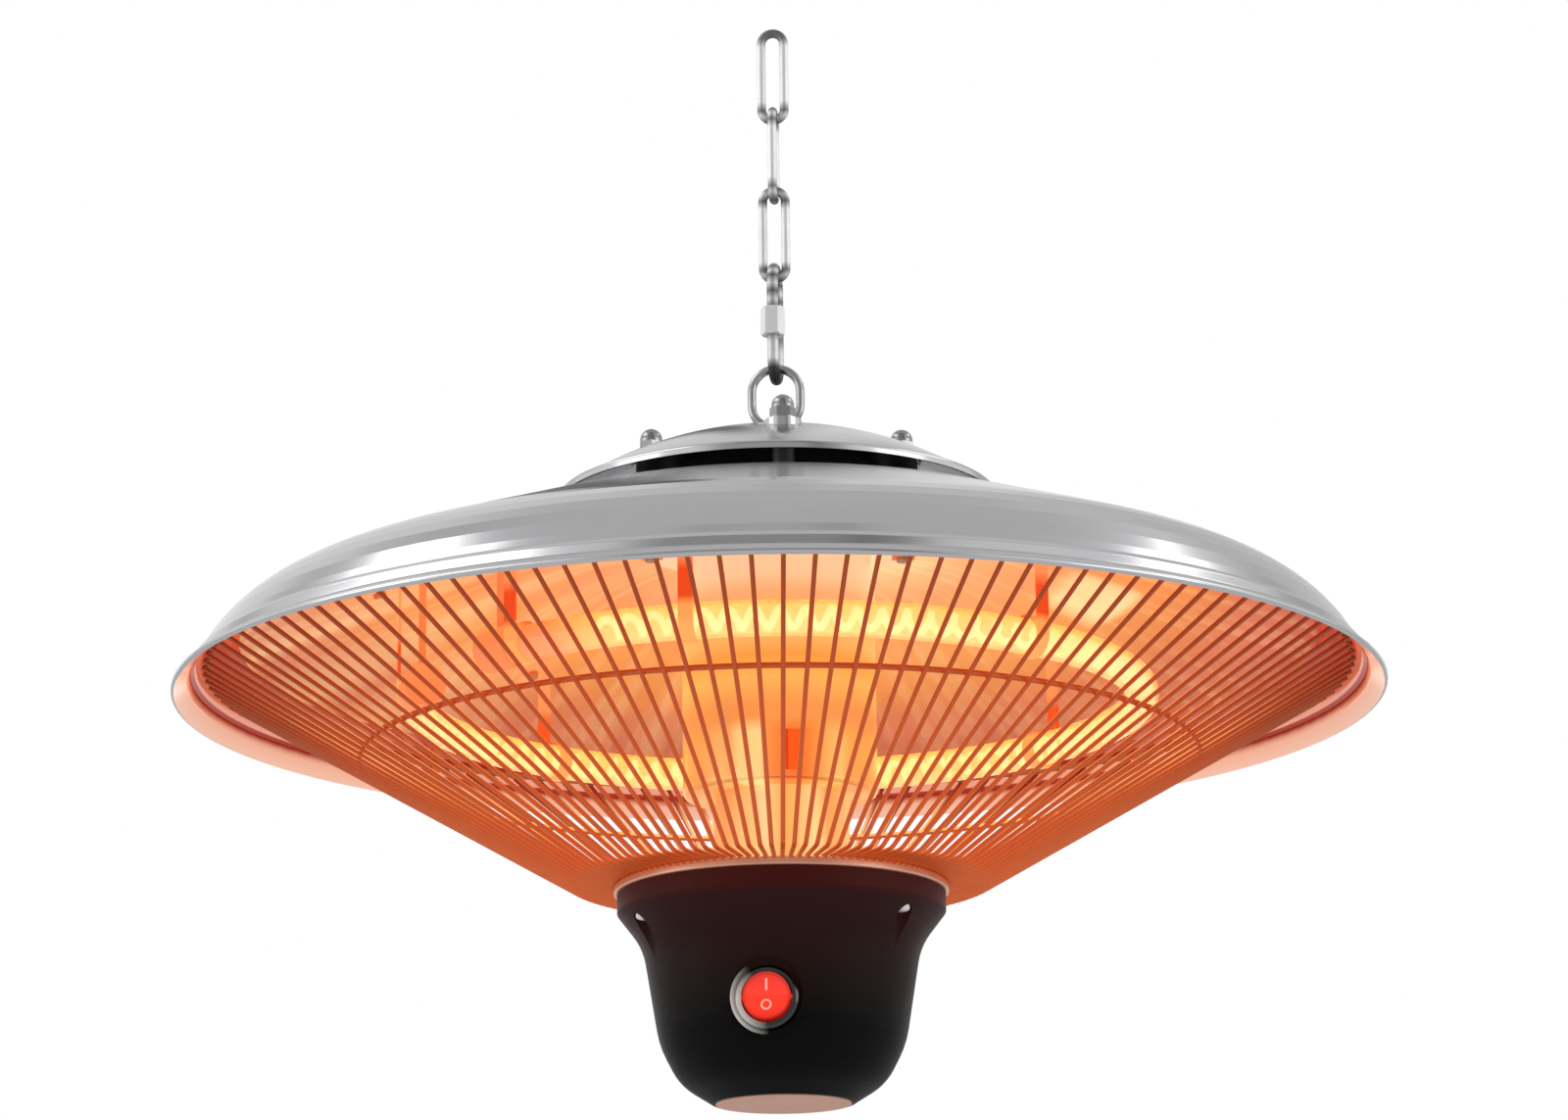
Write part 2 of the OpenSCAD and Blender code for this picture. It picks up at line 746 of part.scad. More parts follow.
module reflector() {
    color("lightgray") hung() difference() {
        rotate_extrude() polygon(sheet_outline(reflector_path, reflector_t));
        at_studs() translate([0, 0, reflector_low]) through_hole(stud_r + fit_play);
        for (azimuth = lead_azimuths) at_azimuth(azimuth, lamp_r) translate([0, 0, reflector_under_z(lamp_r)])
            through_hole(lead_bush_r + fit_play);
        at_holder_screws() through_hole(tab_screw_r + fit_play);
        wire_hole(reflector_top);
    }
}

module stud_nuts() {
    color("silver") hung() at_studs() translate([0, 0, flange_low - washer_t]) {
        ring(stud_r + fit_play, washer_r, washer_t);
        translate([0, 0, -stud_nut_h]) hex_nut(nut_flats, stud_r + fit_play, stud_nut_h);
    }
}

// Stretch of a round bar along the lamp's ring, from one azimuth over an arc
module lamp_bar(radius, from, arc) {
    rotate([0, 0, from - 90]) rotate_extrude(angle = arc) translate([lamp_r, 0]) circle(r = radius, $fn = 48);
}

module lamp_tube() {
    color("gold", 0.6) hung() rotate([0, 0, lamp_start - 90]) rotate_extrude(angle = lamp_arc)
        translate([lamp_r, 0]) difference() {
            circle(r = tube_r, $fn = 48);
            circle(r = tube_inner_r, $fn = 48);
        }
}

module lamp_filament() {
    tail_r = 0.7;
    color("orange") hung() union() {
        lamp_bar(tail_r, lamp_start, cold_arc);
        lamp_bar(filament_r, lamp_start + cold_arc, lamp_arc - cold_arc);
    }
}

module end_cap(from, tube_from) {
    difference() {
        lamp_bar(end_cap_r, from, cap_arc);
        lamp_bar(tube_r + fit_play, tube_from, grip_arc + 0.5);
    }
}

module lamp_end_caps() {
    color("ivory") hung() {
        end_cap(first_cap, lamp_start);
        end_cap(last_cap, last_cap - 0.5);
    }
}

module lamp_leads() {
    high = reflector_under_z(lamp_r) + lead_rise;
    color("white") hung() for (azimuth = lead_azimuths) at_azimuth(azimuth, lamp_r)
        translate([0, 0, end_cap_r + fit_play]) cylinder(r = lead_r, h = high - end_cap_r);
}

module lead_bushes() {
    low = reflector_under_z(lamp_r) - lead_bush_drop;
    color("ivory") hung() for (azimuth = lead_azimuths) at_azimuth(azimuth, lamp_r) translate([0, 0, low])
        ring(lead_r + fit_play, lead_bush_r, lead_bush_h);
}

// Holder in the XZ plane: a clip round the tube, a leg and a tab under the reflector
module lamp_holder() {
    tab_r = leg_r + holder_t;
    top_z = reflector_under_z(tab_r);
    rotate([0, 0, -90]) translate([0, holder_w / 2, 0]) rotate([90, 0, 0]) linear_extrude(holder_w) {
        difference() {
            translate([lamp_r, 0]) circle(r = tube_r + clip_play + holder_t, $fn = 48);
            translate([lamp_r, 0]) circle(r = tube_r + clip_play, $fn = 48);
        }
        polygon([
            [leg_r, 0], [leg_r + holder_t, 0], [leg_r + holder_t, top_z - holder_t],
            [tab_r + tab_l * cos(cone_slope), reflector_under_z(tab_r + tab_l * cos(cone_slope)) - holder_t],
            [tab_r + tab_l * cos(cone_slope), reflector_under_z(tab_r + tab_l * cos(cone_slope)) - fit_play],
            [leg_r, reflector_under_z(leg_r) - fit_play]
        ]);
    }
}

module lamp_holders() {
    color("silver") hung() difference() {
        for (azimuth = holder_azimuths) at_azimuth(azimuth) lamp_holder();
        at_holder_screws() through_hole(tab_screw_r + fit_play);
    }
}

module holder_screws() {
    head_top = -holder_t * cos(cone_slope) - fit_play;
    color("silver") hung() at_holder_screws() union() {
        translate([0, 0, head_top - tab_head_h]) cylinder(r = tab_head_r, h = tab_head_h);
        translate([0, 0, head_top - cut])
            cylinder(r = tab_screw_r, h = cut - head_top + reflector_t + tab_screw_tail);
    }
}

// One radial wire in the XZ plane: a foot, a bend and a slope
module radial_wire() {
    foot_start = inner_ring_r - inner_ring_wire / 2 - foot_reach;
    bend_x = guard_bend_r - bend_back;
    translate([bend_x, 0, foot_z]) {
        translate([bend_grip, 0, 0]) rotate([0, -90, 0])
            cylinder(d = guard_wire, h = bend_x + bend_grip - foot_start, $fn = 16);
        translate([0, 0, guard_bend]) {
            wire_arc(guard_bend, guard_wire + bend_swell, -90, guard_slope, $fn = 16);
            rotate([0, -guard_slope, 0]) translate([-bend_grip, 0, -guard_bend]) rotate([0, 90, 0])
                cylinder(d = guard_wire, h = slope_l + bend_grip, $fn = 16);
        }
    }
}

module guard_wires() {
    color("sienna") hung() for (i = [0:guard_count - 1])
        rotate([0, 0, guard_turn - 90 + i * 360 / guard_count]) radial_wire();
}

// Ring of round wire about the Z axis
module wire_ring(radius, height, wire) {
    translate([0, 0, height]) rotate_extrude() translate([radius, 0]) circle(d = wire, $fn = 24);
}

module guard_outer_ring() {
    color("sienna") hung() wire_ring(outer_ring_r, outer_ring_z, outer_ring_wire);
}

module guard_middle_ring() {
    color("sienna") hung() wire_ring(
        middle_ring_r - middle_lift * sin(guard_slope),
        middle_wire_z + middle_lift * cos(guard_slope),
        middle_ring_wire
    );
}

module guard_inner_ring() {
    color("sienna") hung() wire_ring(inner_ring_r, inner_ring_z, inner_ring_wire);
}

module column_upper() {
    path = rounded_path([
        [column_flange_r, flange_low, 0], [column_r, flange_low, flange_bend_r],
        [column_r, column_foot, foot_bend_r], [neck_r + fit_play, column_foot, 0]
    ]);
    color("gainsboro") hung() difference() {
        rotate_extrude() polygon(sheet_outline(path, column_t));
        at_studs() translate([0, 0, flange_low]) through_hole(stud_r + fit_play);
        for (i = [0:slot_count - 1]) at_azimuth(slot_turn + i * 360 / slot_count, column_r)
            translate([-slot_w / 2, -cut, column_foot + slot_rise])
                cube([slot_w, 2 * cut + column_t, slot_h]);
    }
}

module column_neck() {
    lip_z = column_foot + column_t;
    color("gainsboro") hung() difference() {
        union() {
            translate([0, 0, neck_low]) cylinder(r = neck_r, h = lip_z + column_t - neck_low);
            translate([0, 0, lip_z]) cylinder(r = neck_r + neck_lip, h = column_t);
        }
        translate([0, 0, neck_low - cut]) cylinder(r = neck_r - column_t, h = lip_z - neck_low + 4 * cut);
    }
}

module tie_rod() {
    low = collar_z - tie_nut_h - tie_tail;
    high = crown_z + tie_nut_h + tie_tail;
    color("silver") hung() translate([0, 0, low]) cylinder(r = tie_r, h = high - low);
}

module tie_rod_nuts() {
    color("silver") hung() {
        for (low = [crown_z, collar_z - tie_nut_h]) translate([0, 0, low])
            hex_nut(tie_nut_flats, tie_r + fit_play, tie_nut_h);
    }
}

module guard_clips() {
    wall = moved_path(shade_path, shade_t + fit_play);
    inner = moved_path(shade_path, shade_t + fit_play + clip_t);
    keep = [
        for (i = [0:len(wall) - 1])
            if (wall[i][0] > outer_ring_r - clip_reach && wall[i][1] > outer_ring_z - clip_reach) i
    ];
    tongue_z = outer_ring_z - outer_ring_wire / 2 - fit_play;
    tongue_start = outer_ring_r - tongue_reach;
    tongue_end = lookup(tongue_z, [for (p = wall) [p[1], p[0]]]);
    arc = arc_of(clip_w, outer_ring_r);
    pitch = 360 / guard_count;
    first = floor(guard_count / clip_count / 2) + 0.5;
    color("silver") hung() for (i = [0:clip_count - 1])
        rotate([0, 0, guard_turn - 90 + pitch * (first + floor(guard_count * i / clip_count)) - arc / 2])
            rotate_extrude(angle = arc) {
                polygon(concat([for (k = keep) wall[k]], [for (k = [len(keep) - 1:-1:0]) inner[keep[k]]]));
                translate([tongue_start, tongue_z - clip_t]) square([tongue_end - tongue_start, clip_t]);
            }
}

module bell_collar() {
    bead_drop = 0.15;
    bead_gap = 0.4;
    bead_bend = 0.9;
    edge_bend = 0.6;
    bead_top = inner_ring_z + inner_ring_wire / 2 - bead_drop;
    bead_start = inner_ring_r + inner_ring_wire / 2 + bead_gap;
    bead = rounded_path([
        [bead_start, collar_z, 0], [collar_r, collar_z, edge_bend], [collar_r, bead_top, bead_bend],
        [bead_start, bead_top, bead_bend], [bead_start, collar_z + collar_t, 0]
    ]);
    color("rosybrown") hung() difference() {
        union() {
            translate([0, 0, collar_z]) ring(tie_r + fit_play, bead_start, collar_t);
            rotate_extrude() polygon(bead);
        }
        wire_hole(collar_z);
        at_bell_screws() translate([0, 0, collar_z]) through_hole(screw_r + fit_play);
    }
}

module bell_housing() {
    $fa = 6;
    bore_r = waist_r - bell_wall;
    inner = [for (p = moved_path(bell_path, bell_wall)) if (p[0] < bore_r) p];
    boss_r = funnel_r + boss_wall;
    boss_sink = 0.2;
    boss_top = sqrt(pow(switch_face_r, 2) - pow(boss_r, 2)) + switch_y - boss_sink;
    pocket_l = 40;
    color("black") hung() difference() {
        union() {
            rotate_extrude() polygon(concat(
                bell_path, [[0, bell_low], [0, bell_low + bell_wall]],
                [for (i = [len(inner) - 1:-1:0]) inner[i]], [[bore_r, collar_z]]
            ));
            at_switch() translate([0, 0, -bell_wall]) cylinder(r = boss_r, h = bell_wall + boss_top);
        }
        at_bell_screws() {
            translate([0, 0, seat_z - pocket_l]) cylinder(r = pocket_r, h = pocket_l);
            translate([0, 0, seat_z]) through_hole(screw_r + fit_play);
        }
        at_switch()
            cylinder(r1 = funnel_floor_r, r2 = 3 * funnel_r - 2 * funnel_floor_r, h = 3 * funnel_depth);
        at_switch() through_hole(switch_hole_r + switch_wall + neck_play);
        translate([0, 0, bell_low - cut]) cylinder(r = disc_r + disc_play, h = disc_t + cut);
        translate([0, 0, bell_low]) through_hole(disc_r - disc_seat_w);
    }
}

module bell_screws() {
    color("silver") hung() at_bell_screws() union() {
        translate([0, 0, seat_z - bell_head_h]) cylinder(r = screw_head_r, h = bell_head_h);
        translate([0, 0, seat_z - cut]) cylinder(r = screw_r, h = flange_h + collar_t + cut);
    }
}

module bottom_disc() {
    color("tan") hung() union() {
        translate([0, 0, bell_low - disc_stand]) cylinder(r = disc_r, h = disc_t + disc_stand);
        translate([0, 0, bell_low + disc_t - cut])
            cylinder(r = disc_r - disc_seat_w - plug_play, h = disc_plug_h + cut);
    }
}

// Frame of the switch: local +Z points out of the bell along -Y, local Y is up
module at_switch() {
    translate([0, switch_y, switch_z]) rotate([90, 0, 0]) children();
}

module switch_bezel() {
    pin_reach = switch_hole_r + pin_grip + pin_play;
    color("black") hung() at_switch() difference() {
        union() {
            cylinder(r = switch_hole_r + bezel_w, h = bezel_top - bezel_chamfer);
            translate([0, 0, bezel_top - bezel_chamfer]) cylinder(
                r1 = switch_hole_r + bezel_w,
                r2 = switch_hole_r + bezel_w - bezel_chamfer,
                h = bezel_chamfer
            );
            translate([0, 0, -bezel_neck_h]) cylinder(r = switch_hole_r + switch_wall, h = bezel_neck_h);
        }
        through_hole(switch_hole_r);
        translate([-pin_reach, 0, pin_h]) rotate([0, 90, 0])
            cylinder(r = pin_r + fit_play, h = 2 * pin_reach);
    }
}

module switch_body() {
    color("dimgray") hung() at_switch() translate([0, 0, -bezel_neck_h - switch_depth]) difference() {
        cylinder(r = switch_hole_r + switch_wall, h = switch_depth);
        translate([0, 0, switch_depth - body_wall_h]) cylinder(r = switch_hole_r, h = body_wall_h + cut);
    }
}

module switch_terminals() {
    back = -bezel_neck_h - switch_depth;
    color("gold") hung() at_switch() for (side = [-1, 1])
        translate([-blade[0] / 2, side * blade_y - blade[1] / 2, back - blade[2]]) cube(blade);
}

module switch_rocker() {
    face_h = 3.4 - pin_h;
    back = -3.2;
    edge = rocker_r + cut;
    edge_h = face_h + edge * tan(rocker_tilt);
    pin_reach = switch_hole_r + pin_grip;
    color("red") hung() at_switch() translate([0, 0, pin_h]) rotate([-rocker_tilt, 0, 0]) union() {
        intersection() {
            through_hole(rocker_r);
            rotate([90, 0, 90]) translate([0, 0, -edge]) linear_extrude(2 * edge)
                polygon([[-edge, back], [edge, back], [edge, edge_h], [0, face_h], [-edge, edge_h]]);
        }
        translate([-pin_reach, 0, 0]) rotate([0, 90, 0]) cylinder(r = pin_r, h = 2 * pin_reach);
    }
}

chain_link_top();
chain_link_middle();
chain_link_bottom();
quick_link();
quick_link_sleeve();
hanging_eye();
eye_washer();
eye_nut();
top_cap();
cap_acorn_nuts();
cap_washers();
cap_studs();
cap_spacers();
cable_grommet();
hanger_plate();
terminal_can();
terminal_block();
shade();
crown_spacers();
reflector();
stud_nuts();
lamp_tube();
lamp_filament();
lamp_end_caps();
lamp_leads();
lead_bushes();
lamp_holders();
holder_screws();
guard_wires();
guard_outer_ring();
guard_middle_ring();
guard_inner_ring();
guard_clips();
column_upper();
column_neck();
tie_rod();
tie_rod_nuts();
bell_collar();
bell_housing();
bell_screws();
bottom_disc();
switch_bezel();
switch_body();
switch_terminals();
switch_rocker();
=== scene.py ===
"""Ceiling infrared heater, dressed for a studio picture.

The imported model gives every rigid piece. This script gives each its finish, winds the lamp's
glowing coil, adds the small details and sets the camera, the lights and the floor.
Lengths in the dataclasses are millimetres, and Blender's own are metres. Heights count from the
shade's rim, and angles round the heater's axis from the front towards the right.
"""

import logging
import math
from dataclasses import dataclass
from enum import Enum
from typing import Any, Iterable, Mapping

import bmesh
import bpy
from mathutils import Matrix, Vector
from mathutils.bvhtree import BVHTree


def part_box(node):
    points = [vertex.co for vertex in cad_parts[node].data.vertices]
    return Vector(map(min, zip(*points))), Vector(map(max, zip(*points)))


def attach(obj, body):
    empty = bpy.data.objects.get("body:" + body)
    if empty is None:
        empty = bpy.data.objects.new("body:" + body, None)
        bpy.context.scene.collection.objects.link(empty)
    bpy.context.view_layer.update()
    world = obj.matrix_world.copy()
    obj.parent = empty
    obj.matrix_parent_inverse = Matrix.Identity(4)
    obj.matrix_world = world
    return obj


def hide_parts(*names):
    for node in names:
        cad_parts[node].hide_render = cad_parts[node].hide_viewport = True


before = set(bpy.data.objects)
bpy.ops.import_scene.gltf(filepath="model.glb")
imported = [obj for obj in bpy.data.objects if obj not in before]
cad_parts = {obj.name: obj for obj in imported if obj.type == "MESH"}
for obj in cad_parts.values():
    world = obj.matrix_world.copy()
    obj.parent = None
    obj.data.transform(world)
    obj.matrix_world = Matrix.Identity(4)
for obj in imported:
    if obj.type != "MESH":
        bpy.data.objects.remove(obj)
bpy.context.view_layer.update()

MM = 0.001
RIM_Z = -247.8
LAMP_R = 127.0
LAMP_START = -38.0
LAMP_COLD_ARC = 18.0
SWITCH_Z = -111.0
X, Y, Z = range(3)
LEVEL = (1.0, 1.0, 0.0)
PATCHY = 0.5

Pair = tuple[float, float]
Triple = tuple[float, float, float]

log = logging.getLogger("heater")


def linear(code: str, light: float = 1.0) -> tuple[float, float, float, float]:
    """Turns an sRGB hex value such as "#a0b1c2" into linear light.

    Args:
        code: The colour as it looks on a screen.
        light: What its light is multiplied by.

    Returns:
        Red, green, blue and a full alpha for a shader socket.
    """
    parts = [int(code[i:i + 2], 16) / 255 for i in (1, 3, 5)]
    parts = [c / 12.92 if c <= 0.04045 else ((c + 0.055) / 1.055) ** 2.4 for c in parts]
    red, green, blue = (c * light for c in parts)
    return (red, green, blue, 1.0)


def add_object(name: str, data: bpy.types.ID) -> bpy.types.Object:
    """Adds an object to the scene.

    Args:
        name: The object's name.
        data: Its mesh, camera or light.

    Returns:
        The new object.
    """
    thing = bpy.data.objects.new(name, data)
    bpy.context.scene.collection.objects.link(thing)
    return thing


class Nodes:
    """A node tree, with short ways to add what this script needs."""

    def __init__(self, tree: bpy.types.NodeTree) -> None:
        """Takes a tree and empties it."""
        self.tree = tree
        tree.nodes.clear()

    def add(self, kind: str, sockets: Mapping[Any, Any] | None = None, **settings: Any) -> Any:
        """Adds a node with its settings, values and links.

        Args:
            kind: The node's type name.
            sockets: For each input, by name or index, a value or the output that feeds it.
            **settings: The node's own properties.

        Returns:
            The new node.
        """
        node = self.tree.nodes.new(kind)
        for name, value in settings.items():
            setattr(node, name, value)
        for key, value in (sockets or {}).items():
            if isinstance(value, bpy.types.NodeSocket):
                self.tree.links.new(value, node.inputs[key])
            else:
                node.inputs[key].default_value = value
        return node

    def calc(self, operation: str, *values: Any, clamp: bool = False) -> Any:
        """Adds one sum.

        Args:
            operation: The Math node's operation.
            *values: Its numbers or the outputs that feed it.
            clamp: Keeps the result between 0 and 1.

        Returns:
            The output that gives the result.
        """
        sockets = dict(enumerate(values))
        return self.add("ShaderNodeMath", sockets, operation=operation, use_clamp=clamp).outputs[0]

    def vector(self, operation: str, *values: Any, **named: Any) -> Any:
        """Adds one sum of vectors.

        Args:
            operation: The Vector Math node's operation.
            *values: Its vectors or the outputs that feed it.
            **named: More of its inputs, by name.

        Returns:
            The output that gives the result, which is a number for a length or a dot product.
        """
        sockets = {**dict(enumerate(values)), **named}
        node = self.add("ShaderNodeVectorMath", sockets, operation=operation)
        return node.outputs["Value" if operation in ("LENGTH", "DOT_PRODUCT") else "Vector"]

    def part(self, vector: Any, axis: int) -> Any:
        """Gives one coordinate of a vector."""
        return self.add("ShaderNodeSeparateXYZ", {0: vector}).outputs[axis]

    def xyz(self, *values: Any) -> Any:
        """Joins coordinates into a vector."""
        return self.add("ShaderNodeCombineXYZ", dict(enumerate(values))).outputs[0]

    def between(
        self, value: Any, low: float, high: float, at_low: float = 0.0, at_high: float = 1.0,
    ) -> Any:
        """Follows a number from one end of its range to the other.

        Args:
            value: The output that gives the number.
            low: The range's first end.
            high: Its other end.
            at_low: The result at the first end and before it.
            at_high: The result at the other end and past it.

        Returns:
            The output that gives the result.
        """
        return self.add("ShaderNodeMapRange", {
            "Value": value, "From Min": low, "From Max": high, "To Min": at_low, "To Max": at_high,
        }).outputs[0]

    def azimuth(self, point: Any) -> Any:
        """Gives a point's angle round the axis in radians, between minus and plus half a turn."""
        ahead = self.calc("MULTIPLY", self.part(point, Y), -1.0)
        return self.calc("ARCTAN2", self.part(point, X), ahead)


class SkinNodes(Nodes):
    """A material's tree, with ways to measure where its piece lies and how it is turned.

    All of them go by Object coordinates, so the look of a piece stays when its body moves.
    """

    def __init__(self, tree: bpy.types.NodeTree) -> None:
        """Takes a material's tree and finds the coordinates, in metres.

        Args:
            tree: The tree, which is emptied.
        """
        super().__init__(tree)
        coordinates = self.add("ShaderNodeTexCoord").outputs
        self.normal, self.point = coordinates["Normal"], coordinates["Object"]

    def noise(self, size_mm: float, detail: float = 2.0, point: Any = None) -> Any:
        """Adds a noise whose patches have a real size.

        Args:
            size_mm: Size of one patch.
            detail: Octaves of finer noise on it.
            point: The output that gives its coordinates, where they aren't the piece's own.

        Returns:
            The noise's factor output.
        """
        place = self.point if point is None else point
        sockets = {"Vector": place, "Scale": 1 / (size_mm * MM), "Detail": detail}
        return self.add("ShaderNodeTexNoise", sockets).outputs["Fac"]

    def mix(self, share: Any, first: Any, second: Any, **settings: Any) -> Any:
        """Mixes two tones.

        Args:
            share: How much of the second.
            first: A linear colour or the output that feeds it.
            second: The same for the other tone.
            **settings: More settings of the node.

        Returns:
            The colour output.
        """
        sockets = {"Factor": share, 6: first, 7: second}
        return self.add("ShaderNodeMix", sockets, data_type="RGBA", **settings).outputs[2]

    def ramp(self, factor: Any, stops: Iterable[tuple[float, str]]) -> Any:
        """Adds a ramp of sRGB tones.

        Args:
            factor: The output that feeds it.
            stops: Place from 0 to 1 and tone of each stop.

        Returns:
            The ramp's colour output.
        """
        ramp = self.add("ShaderNodeValToRGB", {0: factor})
        elements = ramp.color_ramp.elements
        elements.remove(elements[1])
        for index, (place, tone) in enumerate(stops):
            element = elements[0] if index == 0 else elements.new(place)
            element.position = place
            element.color = linear(tone)
        return ramp.outputs[0]

    def varied(self, base: float, *patterns: tuple[Any, float]) -> Any:
        """Adds patterns to a number.

        Args:
            base: The number.
            *patterns: The output of each pattern, and how much it adds where it is 1.

        Returns:
            The output that gives the sum.
        """
        total = base
        for pattern, spread in patterns:
            total = self.calc("MULTIPLY_ADD", pattern, spread, total)
        return total

    def patchy(self, pattern: Any, strength: float) -> Any:
        """Varies a glow's strength by a quarter each way."""
        return self.varied((1 - PATCHY / 2) * strength, (pattern, PATCHY * strength))

    def bump(self, height: Any, strength: float, depth_mm: float) -> Any:
        """Adds a relief.

        Args:
            height: The output that gives its pattern.
            strength: How much of it shows.
            depth_mm: Its real depth.

        Returns:
            The output that gives the normal.
        """
        sockets = {"Height": height, "Strength": strength, "Distance": depth_mm * MM}
        return self.add("ShaderNodeBump", sockets).outputs[0]

    def radius(self) -> Any:
        """Gives the distance from the heater's axis, in metres."""
        return self.vector("LENGTH", self.vector("MULTIPLY", self.point, LEVEL))

    def outward(self) -> Any:
        """Gives the level direction that leads away from the heater's axis."""
        return self.vector("NORMALIZE", self.vector("MULTIPLY", self.point, LEVEL))

    def turned_to(self, direction: Any) -> Any:
        """Gives 1 for a face that is square to a direction, and -1 for one that faces away."""
        return self.vector("DOT_PRODUCT", self.normal, self.vector("NORMALIZE", direction))

    def turned_to_lamp(self) -> Any:
        """Measures how far a face is turned to the nearest part of the ring lamp.

        Returns:
            The output that gives 1 for a face square to it, and -1 for one that faces away.
        """
        reach = self.calc("SUBTRACT", LAMP_R * MM, self.radius())
        across = self.vector("SCALE", self.outward(), Scale=reach)
        drop = self.vector("MULTIPLY", self.point, (0.0, 0.0, -1.0))
        rise = self.vector("ADD", drop, (0.0, 0.0, RIM_Z * MM))
        return self.turned_to(self.vector("ADD", across, rise))

    def from_switch(self) -> Any:
        """Gives the way from the switch's axis to a point, square to that axis, in metres."""
        centred = self.vector("ADD", self.point, (0.0, 0.0, -(RIM_Z + SWITCH_Z) * MM))
        return self.vector("MULTIPLY", centred, (1.0, 0.0, 1.0))

    def close(self, sockets: Mapping[str, Any]) -> None:
        """Ends the tree with a Principled shader that has these values and links."""
        shader = self.add("ShaderNodeBsdfPrincipled", sockets)
        self.add("ShaderNodeOutputMaterial", {"Surface": shader.outputs[0]})


class Along(Enum):
    """What a glow is measured along."""

    RADIUS = "distance from the heater's axis"
    HEIGHT = "height above the rim plane"
    AZIMUTH = "degrees round the axis, from the front to the right"


@dataclass(frozen=True)
class Glow:
    """Tones that change from stop to stop over a piece.

    Each stop is a place, in millimetres or degrees, and the sRGB tone there.
    """

    along: Along
    stops: tuple[tuple[float, str], ...]
    strength: float = 1.0

    def colour(self, nodes: SkinNodes) -> Any:
        """Adds the tones.

        Args:
            nodes: The material's tree.

        Returns:
            The colour output.
        """
        unit = MM
        if self.along is Along.RADIUS:
            place = nodes.radius()
        elif self.along is Along.HEIGHT:
            place = nodes.calc("SUBTRACT", nodes.part(nodes.point, Z), RIM_Z * MM)
        else:
            place, unit = nodes.azimuth(nodes.point), math.radians(1.0)
        low, high = self.stops[0][0], self.stops[-1][0]
        share = nodes.between(place, low * unit, high * unit)
        return nodes.ramp(share, [((stop - low) / (high - low), tone) for stop, tone in self.stops])


@dataclass(frozen=True)
class Skin:
    """A finish, named for what the real one is."""

    name: str

    def sockets(self, nodes: SkinNodes) -> dict[str, Any]:
        """Builds what feeds the finish's shader.

        Args:
            nodes: The material's tree.

        Returns:
            The values and outputs for the sockets of a Principled shader.
        """
        raise NotImplementedError

    def made(self) -> bpy.types.Material:
        """Gives the finish's material, which is built the first time.

        Returns:
            The node material.
        """
        material = bpy.data.materials.get(self.name)
        if material is None:
            material = bpy.data.materials.new(self.name)
            material.use_nodes = True
            nodes = SkinNodes(material.node_tree)
            nodes.close(self.sockets(nodes))
        return material


@dataclass(frozen=True)
class StudioPaint(Skin):
    """Matt paint on the studio's floor."""

    tone: str
    roughness: float = 0.9

    def sockets(self, nodes: SkinNodes) -> dict[str, Any]:
        """Gives the paint's tone and roughness."""
        return {"Base Color": linear(self.tone), "Roughness": self.roughness}


@dataclass(frozen=True)
class SpunSheet(Skin):
    """Sheet metal spun over a form and then polished on the lathe.

    The tool leaves fine rings round the axis, which draw highlights out into soft bands.
    """

    tone: str
    roughness: float
    ring_mm: float = 1.4
    depth_mm: float = 0.006
    ring_rough: float = 0.06
    cloud_mm: float = 60.0
    cloud_rough: float = 0.06
    cloud_light: float = 0.93
    # Painted lamplight on faces turned to the lamp: a glow and base tones by distance from the axis.
    painted_under_light: Glow | None = None
    painted_under_tone: Glow | None = None
    under_turn: Pair = (0.02, 0.6)
    under_least: float = 0.01

    def sockets(self, nodes: SkinNodes) -> dict[str, Any]:
        """Builds the lathe's rings, the cloudiness and, on the underside, painted lamplight: painted
        tones with a painted dark crease, and a painted glow.

        Args:
            nodes: The material's tree.

        Returns:
            The values and outputs for the shader's sockets.
        """
        path = nodes.calc("SUBTRACT", nodes.radius(), nodes.part(nodes.point, Z))
        rings = nodes.add("ShaderNodeTexNoise", {
            "W": nodes.calc("MULTIPLY", path, 1 / (self.ring_mm * MM)),
            "Scale": 1.0, "Detail": 3.0, "Roughness": 0.7,
        }, noise_dimensions="1D").outputs["Fac"]
        cloud = nodes.noise(self.cloud_mm, 3.0)
        tone = nodes.mix(cloud, linear(self.tone), linear(self.tone, self.cloud_light))
        smooth = self.roughness - self.ring_rough / 2
        sockets = {
            "Base Color": tone, "Metallic": 1.0, "Normal": nodes.bump(rings, 0.5, self.depth_mm),
            "Roughness": nodes.varied(smooth, (rings, self.ring_rough), (cloud, self.cloud_rough)),
        }
        # Painted lamplight: faces turned to the lamp get painted tones and a painted glow.
        if self.painted_under_light:
            lit = nodes.between(nodes.turned_to_lamp(), *self.under_turn)
            under = nodes.calc("GREATER_THAN", lit, self.under_least)
            sockets.update({
                "Base Color": nodes.mix(under, tone, self.painted_under_tone.colour(nodes)),
                "Emission Color": self.painted_under_light.colour(nodes), "Emission Strength": lit,
            })
        return sockets


